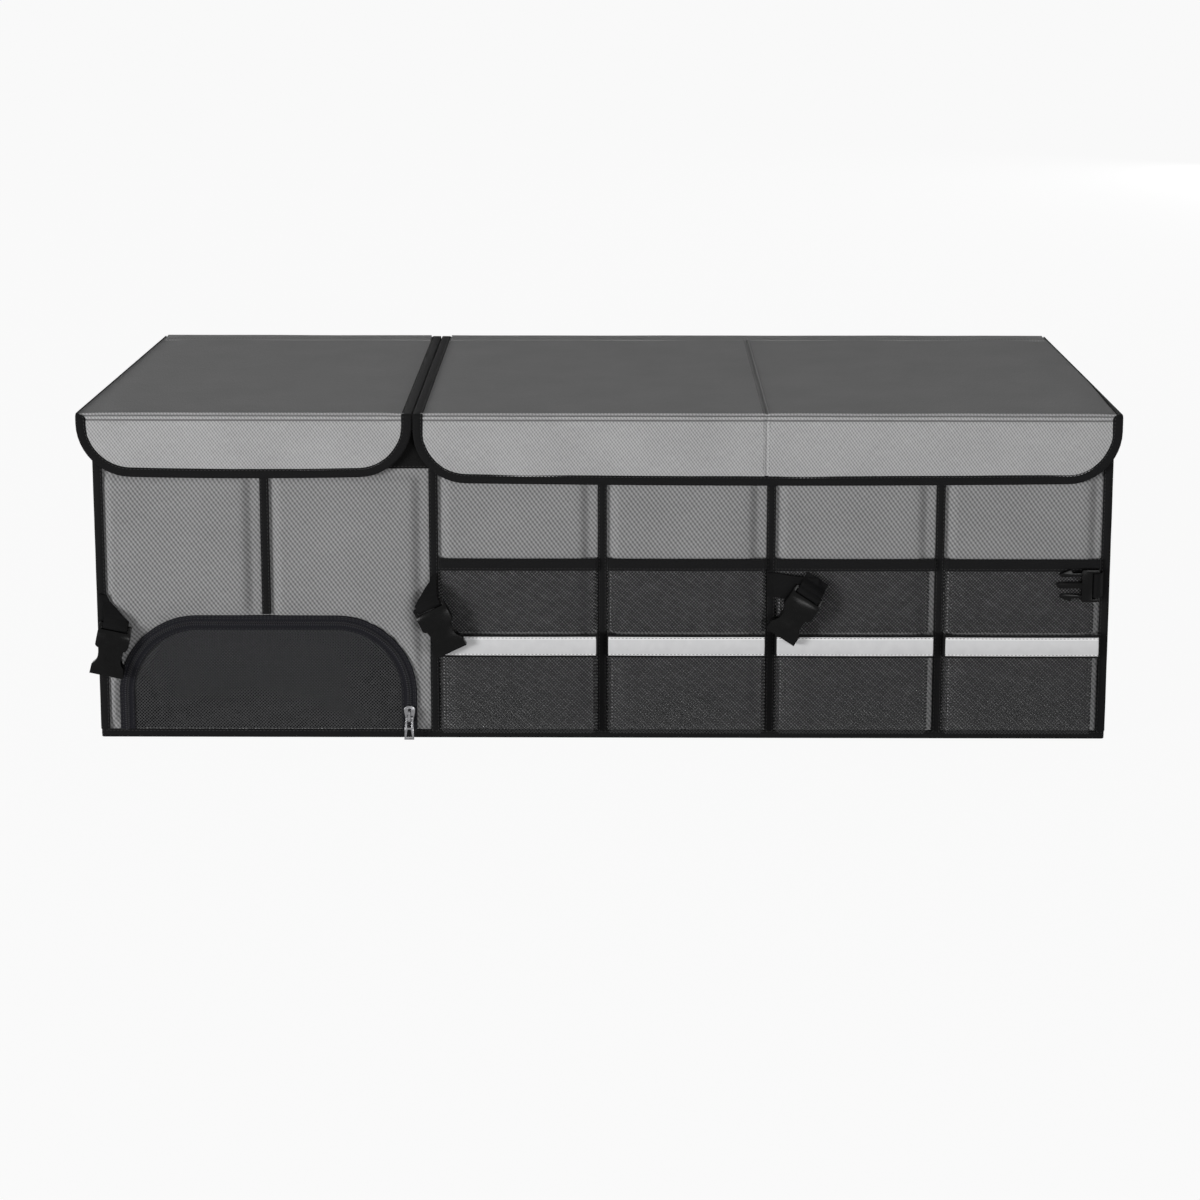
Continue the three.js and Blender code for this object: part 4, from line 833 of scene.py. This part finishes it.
def arch_row(inset, y, foot=ZIP_FOOT):
    """A path along the arch at one distance from its outer edge."""
    return [(x, y, z) for x, z, _, _ in arch_path(inset, foot)]


def length(path):
    """How long a path is."""
    return sum(math.dist(a, b) for a, b in zip(path, path[1:]))


# Both halves of the coil zip have as many teeth. The inner row starts half a pitch later, so its teeth fall in the
# gaps of the outer row.
TOOTH_PITCH, TOOTH_SIZE = 2.0, (1.3, 2.7, 1.5)
coil = thread("zip_coil", (0.008, 0.008, 0.009), (0.04, 0.04, 0.046))
outer_row, inner_row = arch_row(5.6, -203.7), arch_row(7.5, -203.7, ZIP_FOOT + TOOTH_PITCH / 2)
for name, path, body in (("outer", outer_row, "box"), ("inner", inner_row, "shoe_door")):
    teeth = row(f"zip_teeth_{name}", [path], TOOTH_PITCH * length(path) / length(outer_row), TOOTH_SIZE, coil)
    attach(teeth, body)
sew("zip_stitches_outer", [arch_row(1.0, -203.3), arch_row(2.7, -203.15)], "box", black_thread)
sew("zip_stitches_inner", [arch_row(11.9, -203.45, 14)], "shoe_door", black_thread)

door_half, door_top, door_radius = (reach - DOOR_INSET for reach in (ARCH_HALF, ARCH_TOP, ARCH_RADIUS))


def door_point(x, t, inward=0.0):
    """A point of the door's net: x from its middle, and t from its foot to the arch over it."""
    past = max(0, abs(x) - (door_half - door_radius))
    top = door_top - door_radius + math.sqrt(max(0, door_radius ** 2 - past ** 2))
    z = ZIP_FOOT + (top - ZIP_FOOT) * t
    swell = 1.4 * math.sin(math.pi * t) * (1 - (x / door_half) ** 2) + 0.4 * ripple(x, z, 31.5, 30)
    return (ARCH_X + x, -202 - swell + inward, z)


door_lines = [door_half * math.sin(math.pi / 2 * k / 24) for k in range(-24, 25)]
door = slab("net_door", door_lines, [k / 14 for k in range(15)], door_point,
            lambda x, t: door_point(x, t, NET_THICK), [door_net])
flat = door.data.uv_layers["cloth"].data
for loop in door.data.loops:
    place = door.data.vertices[loop.vertex_index].co
    flat[loop.index].uv = (place.x / MM, place.z / MM)
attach(door, "shoe_door")
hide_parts("door_mesh")


# Lids. Each is a board in the same grey cloth as the walls, thinly padded, with a soft flap sewn on along a fold;
# their cloth has a lighter tone, which is painted light. A black binding is folded over the edge, and a hinge cloth
# joins the back edge to the back wall.
LID_TOP, LID_UNDER, FOLD, FLAP_FACE, FLAP_SEAT = 298.2, 293.7, 3.0, -207.8, -204.2
TOP_RUN = BACK - (FLAP_FACE + FOLD)
BEND_RUN = TOP_RUN + FOLD * math.pi / 2
CREASE_RUN, STITCH_RUN = TOP_RUN + 2.2, BEND_RUN + 1.9
BINDING, TUCK, LAP, SAG, FLAP_RADIUS = 9, 0.27, 2.4, 2.2, 47
# Painted light: the lids' cloth is the walls' grey cloth in a lighter tone, so the flaps render brighter than the
# panels.
lid_cloth = plain_weave("lid_cloth", 2.3, 0.14, (0.16, 0.16, 0.162), (0.58, 0.58, 0.582), lean=-1,
                        painted_crease_shade=(CREASE_RUN, STITCH_RUN))
grey_thread = thread("grey_thread", (0.09, 0.09, 0.09), (0.2, 0.2, 0.2))


def lid_face(x, s, out=0.0):
    """A point on a lid from its flat pattern: s runs from the back edge over the fold and down the flap."""
    if s < TOP_RUN:
        return (x, BACK - s, LID_TOP + out)
    if s < BEND_RUN:
        turn = (s - TOP_RUN) / FOLD
        reach = FOLD + out
        return (x, FLAP_FACE + FOLD - reach * math.sin(turn), LID_TOP - FOLD + reach * math.cos(turn))
    return (x, FLAP_FACE - out, LID_TOP - FOLD - (s - BEND_RUN))


def lid_back(x, s):
    """The lining side of a lid at the same place of its pattern."""
    if s < BEND_RUN:
        return (x, max(BACK - s, FLAP_SEAT), LID_UNDER)
    return (x, FLAP_SEAT, min(LID_UNDER, LID_TOP - FOLD - (s - BEND_RUN)))


def lid(name, left, left_back, right, right_back, flap_low, outer, taper, seam=None):
    """Cover, binding and stitches of one lid: its corners in millimetres, the side of it that hangs over an end wall,
    how wide its binding grows there before the fold, and the x of a seam across it."""
    foot = BEND_RUN + LID_TOP - FOLD - (flap_low - BINDING)
    radius = FLAP_RADIUS

    def sides(s):
        """Left and right edge of the pattern at s."""
        ahead = min(1, s / TOP_RUN)
        return left_back + (left - left_back) * ahead, right_back + (right - right_back) * ahead

    def band_width(s, side):
        """Width of the binding on the lid's face: it turns to the side along the top of the outer edge."""
        if side != outer:
            return BINDING
        return 0.9 + taper * rise(s, 230, TOP_RUN) + (8.1 - taper) * rise(s, TOP_RUN - 1, BEND_RUN + 0.5)

    def sag(x):
        """How far the flap's lower edge hangs down between its ends."""
        return SAG * math.sin(math.pi * (x - left) / (right - left))

    def foot_rise(x):
        """How far the flap's lower edge stands above its lowest line at x: round the corners, less a slow sag."""
        past = max(0, left + radius - x, x - right + radius)
        return radius - math.sqrt(max(0, radius ** 2 - past ** 2)) - sag(x)

    def pattern(u, t):
        """Pattern place from a grid: t is 0 to 1 over the top, 1 to 2 round the fold and 2 to 3 down the flap."""
        s = TOP_RUN * t if t < 1 else TOP_RUN + (BEND_RUN - TOP_RUN) * (t - 1)
        low, high = sides(min(s, TOP_RUN))
        tuck = [TUCK * band_width(s if t < 2 else foot, side) for side in (-1, 1)]
        x = low + tuck[0] + (high - low - sum(tuck)) * u
        if t > 2:
            s = BEND_RUN + (foot - LAP - foot_rise(x) - BEND_RUN) * (t - 2)
        return x, s

    def relief(x, s):
        """Padding, the crease and stitch line under the fold, the seam, and slow waves in the cloth."""
        low, high = sides(min(s, TOP_RUN))
        inset = min(x - low, high - x)
        out = 0.5 * rise(inset, 7, 26) * rise(s, 6, 24) + 0.3 * ripple(x, s, len(name), 70) * rise(inset, 6, 30)
        out += 0.9 * math.exp(-((s - TOP_RUN + 0.6) / 1.5) ** 2) * rise(inset, 1, 8)
        if s > BEND_RUN:
            out += 0.5 * rise(s, BEND_RUN + 8, BEND_RUN + 18) * rise(foot - foot_rise(x) - s, 9, 20)
        out -= 2.0 * math.exp(-((s - CREASE_RUN) / 0.7) ** 2) + 1.1 * math.exp(-((s - STITCH_RUN) / 0.6) ** 2)
        if seam is not None:
            out -= 1.0 * math.exp(-((x - seam) / 1.1) ** 2)
        return out

    turns = [k / 10 for k in range(11)]
    ends = [radius * (1 - math.cos(math.pi / 2 * k)) / (right - left) for k in turns]
    count = round((right - left - 2 * radius) / 9)
    across = joined(ends, [1 - k for k in ends],
                    [ends[-1] + (1 - 2 * ends[-1]) * k / count for k in range(1, count)],
                    [] if seam is None else [(seam + k - left) / (right - left)
                                             for k in (-5, -3, -2, -1.3, -0.7, 0, 0.7, 1.3, 2, 3, 5)])
    drop = foot - LAP - BEND_RUN
    near_fold = [2 + k / drop for k in (0, 0.4, 0.8, 1.2, 1.5, 1.9, 2.3, 2.7, 3.2, 4, 5.4, 7)]
    along = joined([k / 36 for k in range(36)], [0.984, 0.99, 0.9935, 0.996, 0.998, 1, 1.1, 1.2, 1.28, 1.35, 1.4,
                                                 1.47, 1.53, 1.59, 1.66, 1.75, 1.87],
                   near_fold, [2 + (9 + (drop - 9) * k / 10) / drop for k in range(11)])
    cover = slab(f"{name}_cloth", across, along,
                 lambda u, t: lid_face(*pattern(u, t), relief(*pattern(u, t))),
                 lambda u, t: lid_back(*pattern(u, t)), [lid_cloth, lining])
    flat = cover.data.uv_layers["cloth"].data
    places = [pattern(u, t) for t in along for u in across] * 2
    for loop in cover.data.loops:
        flat[loop.index].uv = places[loop.vertex_index]
    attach(cover, name)
    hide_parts(f"{name}_cover")

    stations = [TOP_RUN * k / 40 for k in range(41)]
    stations += [TOP_RUN + (BEND_RUN - TOP_RUN) * k / 6 for k in range(1, 7)]
    stations += [s for s in (BEND_RUN + 1, BEND_RUN + 2.5) if s < foot - radius]
    path = [(sides(s)[0], s, 1, 0, -1) for s in stations]
    for middle, start in ((left + radius, 180), (right - radius, 90)):
        for k in range(13):
            turn = math.radians(start - 90 * k / 12)
            path.append((middle + radius * math.cos(turn), foot - radius + radius * math.sin(turn),
                         -math.cos(turn), -math.sin(turn), -1 if start == 180 else 1))
        if start == 180:
            span = right - left - 2 * radius
            path += [(left + radius + span * k / count, foot, 0, -1, 0) for k in range(1, count)]
    path += [(sides(s)[1], s, -1, 0, 1) for s in reversed(stations)]
    groove = 7.2
    section = [(0, -4.6), (-0.1, -2), (0, 0.2), (0.5, 0.65), (1.2, 0.75), (6.6, 0.75), (groove, 0.5), (7.8, 0.7),
               (8.6, 0.5), (BINDING, 0.1), (BINDING, -0.6), (2.5, -0.8), (2.5, -4.6)]
    points, uvs, faces, far, sewn = [], [], [], 0.0, []
    ring = len(section)
    for k, (x, s, nx, ns, side) in enumerate(path):
        far += math.hypot(x - path[k - 1][0], s - path[k - 1][1]) if k else 0
        low = s + sag(x) * rise(s, foot - radius, foot)
        width = band_width(s, side) / BINDING
        deep = -3.6 if s > BEND_RUN else -2.6 if TOP_RUN < s < BEND_RUN else -4.4
        points += [lid_face(x + nx * a * width, low + ns * a * width, max(h, deep)) for a, h in section]
        uvs += [(far, a + h) for a, h in section]
        if width > 5 / BINDING:
            sewn.append(lid_face(x + nx * groove * width, low + ns * groove * width, 0.65))
    for k in range(len(path) - 1):
        near, ahead = k * ring, (k + 1) * ring
        faces += [(near + i, near + (i + 1) % ring, ahead + (i + 1) % ring, ahead + i) for i in range(ring)]
    faces += [tuple(reversed(range(ring))), tuple(range((len(path) - 1) * ring, len(path) * ring))]
    band = piece(f"{name}_edge", points, faces, uvs, [black_tape])
    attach(band, name)
    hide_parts(f"{name}_binding")
    sew(f"{name}_edge_stitches", [sewn], name, black_thread)
    rows = [[(x, STITCH_RUN) for x in range(math.ceil(left) + 12, math.floor(right) - 10, 6)]]
    if seam is not None:
        rows += [[(x, s) for s in list(range(12, 400, 12)) + [TOP_RUN, BEND_RUN, foot - 14]]
                 for x in (seam - 3, seam + 2.4)]
    sew(f"{name}_cloth_stitches", [[lid_face(x, s, relief(x, s) + 0.12) for x, s in row] for row in rows], name,
        grey_thread)


lid("lid_left", -464, -452, -168, -168, 252, outer=-1, taper=0)
lid("lid_right", -167, -167, 457.5, 452, 246, outer=1, taper=4, seam=145)


# Hinge cloth. The cover's own cloth runs on over the back edge of each lid as a strip, and is sewn with one row of
# stitches to the lid and two to the back wall, over the rim.
HINGE_ROUTE = [(202.5, 277), (202.6, 281), (202.7, 285), (202.7, 289), (202.8, 292), (203.0, 294), (203.1, 296),
               (202.6, 297.8), (201.6, 299.1), (200.2, 299.8), (198.6, 299.9), (196.5, 299.7), (194, 299.5),
               (191, 299.4), (187, 299.3), (183, 299.2), (179, 299.1), (176, 298.9)]
for name, left, right in (("lid_left", -449, -178), ("lid_right", -157, 449)):
    count = round((right - left) / 12)
    columns = [left + (right - left) * k / count for k in range(count + 1)]

    def hinge_point(x, k, inward=0.0):
        """A point on the strip at one station of its route, moved in by the cloth's thickness."""
        y, z = HINGE_ROUTE[k]
        before, after = HINGE_ROUTE[max(0, k - 1)], HINGE_ROUTE[min(len(HINGE_ROUTE) - 1, k + 1)]
        run = math.hypot(after[0] - before[0], after[1] - before[1])
        wave = 0.3 * ripple(x, 10 * k, 43) - inward
        return (x, y + wave * (after[1] - before[1]) / run, z - wave * (after[0] - before[0]) / run)

    strip = slab(f"{name}_hinge", columns, list(range(len(HINGE_ROUTE))), hinge_point,
                 lambda x, k: hinge_point(x, k, 0.7), [lid_cloth])
    flat = strip.data.uv_layers["cloth"].data
    for loop in strip.data.loops:
        flat[loop.index].uv = (flat[loop.index].uv[0], flat[loop.index].uv[1] * 2.6)
    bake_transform(strip)
    for place, stations, body in (("wall", (1, 3), "box"), ("top", (15,), name)):
        rows = [[hinge_point(x, k, -0.1) for x in columns] for k in stations]
        sew(f"{name}_hinge_stitches_{place}", rows, body, grey_thread)


# Zip slider and pull. Both are cast zinc with dark nickel plating, polished by use.
def nickel():
    """Dark plated metal with fine handling marks."""
    made, place = solid_stuff("zip_metal")
    marks = place.speckle(0.5, 6.0)
    dress(place, marks.tint((0.14, 0.14, 0.145), (0.3, 0.3, 0.31)), marks, 0.03, Roughness=0.18 + marks * 0.16,
          Metallic=1.0)
    return made


zip_metal = nickel()
for node, body in (("zip_slider", "shoe_door"), ("zip_pull", "zip_pull")):
    made = softened(node, zip_metal, 0.3)
    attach(made, body)
    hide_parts(node)


# Buckles. Side-release halves are moulded in glossy black acetal, with softly rounded edges, and each hangs on its
# own bar in an eye of doubled webbing that is sewn to the nearest upright.
def acetal():
    """Moulded black plastic, glossy with a faint grain."""
    made, place = solid_stuff("buckle_plastic")
    grain = place.speckle(2.5, 3.0)
    wear = place.speckle(0.2, 4.0)
    dress(place, wear.tint((0.001, 0.001, 0.001), (0.004, 0.004, 0.004)), grain, 0.02, gloss=0.1,
          Roughness=0.14 + wear * 0.14)
    return made


def woven_webbing():
    """Flat black webbing: rows of thick weft under lengthwise ribs."""
    made, place = fabric("webbing")
    along, across = place.parts()
    rib, weft = (across * (math.pi / 1.1)).sine().size(), (along * (math.pi / 0.8)).sine().size()
    fuzz = place.speckle(0.8, 4.0)
    tone = (rib * weft * 0.5 + fuzz * 0.5).tint((0.002, 0.002, 0.002), (0.015, 0.015, 0.0155))
    dress(place, tone, rib * weft, 0.25, Roughness=0.85, gloss=0.06)
    return made


buckle_plastic, webbing = acetal(), woven_webbing()
for node in ("socket_left_end", "socket_bay", "socket_middle", "plug_right_end"):
    made = softened(node, buckle_plastic, 0.5)
    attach(made, node)
    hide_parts(node)

WEB_THICK, WEB_STEP, EYE, WEB_HALF = 1.3, 1.5, 3.15, 11
web_section = [(-1, -WEB_THICK / 2), (-1, WEB_THICK / 4), (-0.96, WEB_THICK / 2), (0, WEB_THICK / 2 + 0.06),
               (0.96, WEB_THICK / 2), (1, WEB_THICK / 4), (1, -WEB_THICK / 2)]


def strap_loop(middle, lean, seat, end_x, end_z, end_half):
    """Frames of a webbing loop: down the front from its sewn end, round the bar and up the back."""
    turn = math.radians(lean)
    local_x = Vector((math.cos(turn), 0, -math.sin(turn)))
    local_z = Vector((math.sin(turn), 0, math.cos(turn)))
    up_x, up_z = (end_x * local_x.x + end_z * local_x.z, end_x * local_z.x + end_z * local_z.z)
    land = 0.8 * up_z

    def place(y, z):
        """A point of the route in the part's frame, and the half width of the webbing there."""
        share = min(1, max(0, (z - 0.25 * up_z) / (0.55 * up_z)))
        over = up_x * (0.8 * share + 0.2 * max(0, (z - land) / (up_z - land)))
        half = WEB_HALF + (end_half - WEB_HALF) * share
        return Vector(middle) + local_x * over + Vector((0, y, 0)) + local_z * z, local_x * half

    def plane(z):
        """How far back the webbing lies at z: it runs to the upright that it is sewn to."""
        return (seat - WEB_STEP) * rise(z, 0.3 * up_z, land)

    heights = [up_z - (up_z - 0.25 * up_z) * k / 12 for k in range(13)]
    low = max(3.5, heights[-1])
    heights = [z for z in heights if z >= low]
    half_step = WEB_STEP / 2
    run = [(plane(z) - half_step, z) for z in heights]
    neck = [(-half_step - (EYE - half_step) * rise(1 - z / low, 0, 1), z) for z in (low * 0.75, low * 0.5, low * 0.25)]
    eye = [(-EYE * math.cos(a), -EYE * math.sin(a)) for a in (math.pi * k / 10 for k in range(11))]
    route = run + neck + eye + [(-y, z) for y, z in reversed(neck)] + [(y + WEB_STEP, z) for y, z in reversed(run)]
    frames = []
    for k, (y, z) in enumerate(route):
        before, after = route[max(0, k - 1)], route[min(len(route) - 1, k + 1)]
        way = (Vector((0, after[0] - before[0], 0)) + local_z * (after[1] - before[1])).normalized()
        point, across = place(y, z)
        frames.append((point, across, way.cross(local_x).normalized()))
    return frames


for node, middle, lean, seat, end_x, end_z, end_half in (
        ("socket_left_end", (-434, -210, 106), 12, 6.5, -11.5, 28, 3.5),
        ("socket_bay", (-154, -219.5, 128), -26, 16, 4, 24, 3.5),
        ("plug_right_end", (438, -213, 146), 90, 9.5, 9, 0, WEB_HALF)):
    made = sweep(f"{node}_webbing", strap_loop(middle, lean, seat, end_x, end_z, end_half), web_section, webbing)
    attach(made, "box")
    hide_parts(f"{node}_strap")

# The middle strap comes level from its upright, turns down in a fold behind the socket and goes round the bar.
middle, lean = (183, -219.5, 139), 34
turned = (15 * math.sin(math.radians(lean)), 15 * math.cos(math.radians(lean)))
eye_frames = strap_loop(middle, lean, 9.3, *turned, WEB_HALF)
level = [(146.5, -204.6), (150, -204.7), (154, -205.6), (159, -208.6), (164, -211.6), (169, -213.2), (176, -213.4),
         (184, -213.4), (192, -213.5)]
frames = []
for k, (x, y) in enumerate(level):
    before, after = level[max(0, k - 1)], level[min(len(level) - 1, k + 1)]
    way = Vector((after[0] - before[0], after[1] - before[1], 0)).normalized()
    drop = 2.5 * rise(x, 158, 190)
    frames.append((Vector((x, y, 144 - drop)), Z * WEB_HALF, Vector((way.y, -way.x, 0))))
eye_part = sweep("socket_middle_eye", eye_frames, web_section, webbing)
level_section = [(a, h + math.copysign(WEB_STEP / 2, h)) for a, h in web_section]
level_part = sweep("socket_middle_webbing", frames, level_section, webbing)
for made in (eye_part, level_part):
    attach(made, "box")
    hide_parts("socket_middle_strap")


# Carrying handles. On each end a strap of the same webbing is sewn down at both feet with a crossed box of stitches
# and stands out between them as a bow for the hand.
for side, sx in (("left", -1), ("right", 1)):
    frames = []
    for k in range(41):
        y = -95 + 190 * k / 40
        x = 451.6 + 20 * rise(69 - abs(y), 0, 26)
        slope = (20 * (rise(68.5 - abs(y), 0, 26) - rise(69.5 - abs(y), 0, 26))) * (1 if y > 0 else -1)
        way = Vector((slope, 1, 0)).normalized()
        frames.append((Vector((sx * x, y, 215)), Z, Vector((sx * way.y, -way.x, 0))))
    made = sweep(f"webbing_handle_{side}", frames, [(-12.5, 0), (-12.5, 1.4), (-12, 1.8), (0, 1.95), (12, 1.8),
                                                    (12.5, 1.4), (12.5, 0)], webbing)
    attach(made, "box")
    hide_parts(f"handle_{side}")
    boxes = []
    for sy in (-1, 1):
        corners = [(sy * 92, 205), (sy * 92, 225), (sy * 73, 225), (sy * 73, 205), (sy * 92, 205), (sy * 73, 225)]
        boxes += [[(sx * 453.6, y, z) for y, z in corners], [(sx * 453.6, sy * 73, 205), (sx * 453.6, sy * 92, 225)]]
    sew(f"handle_stitches_{side}", boxes, "box", black_thread)
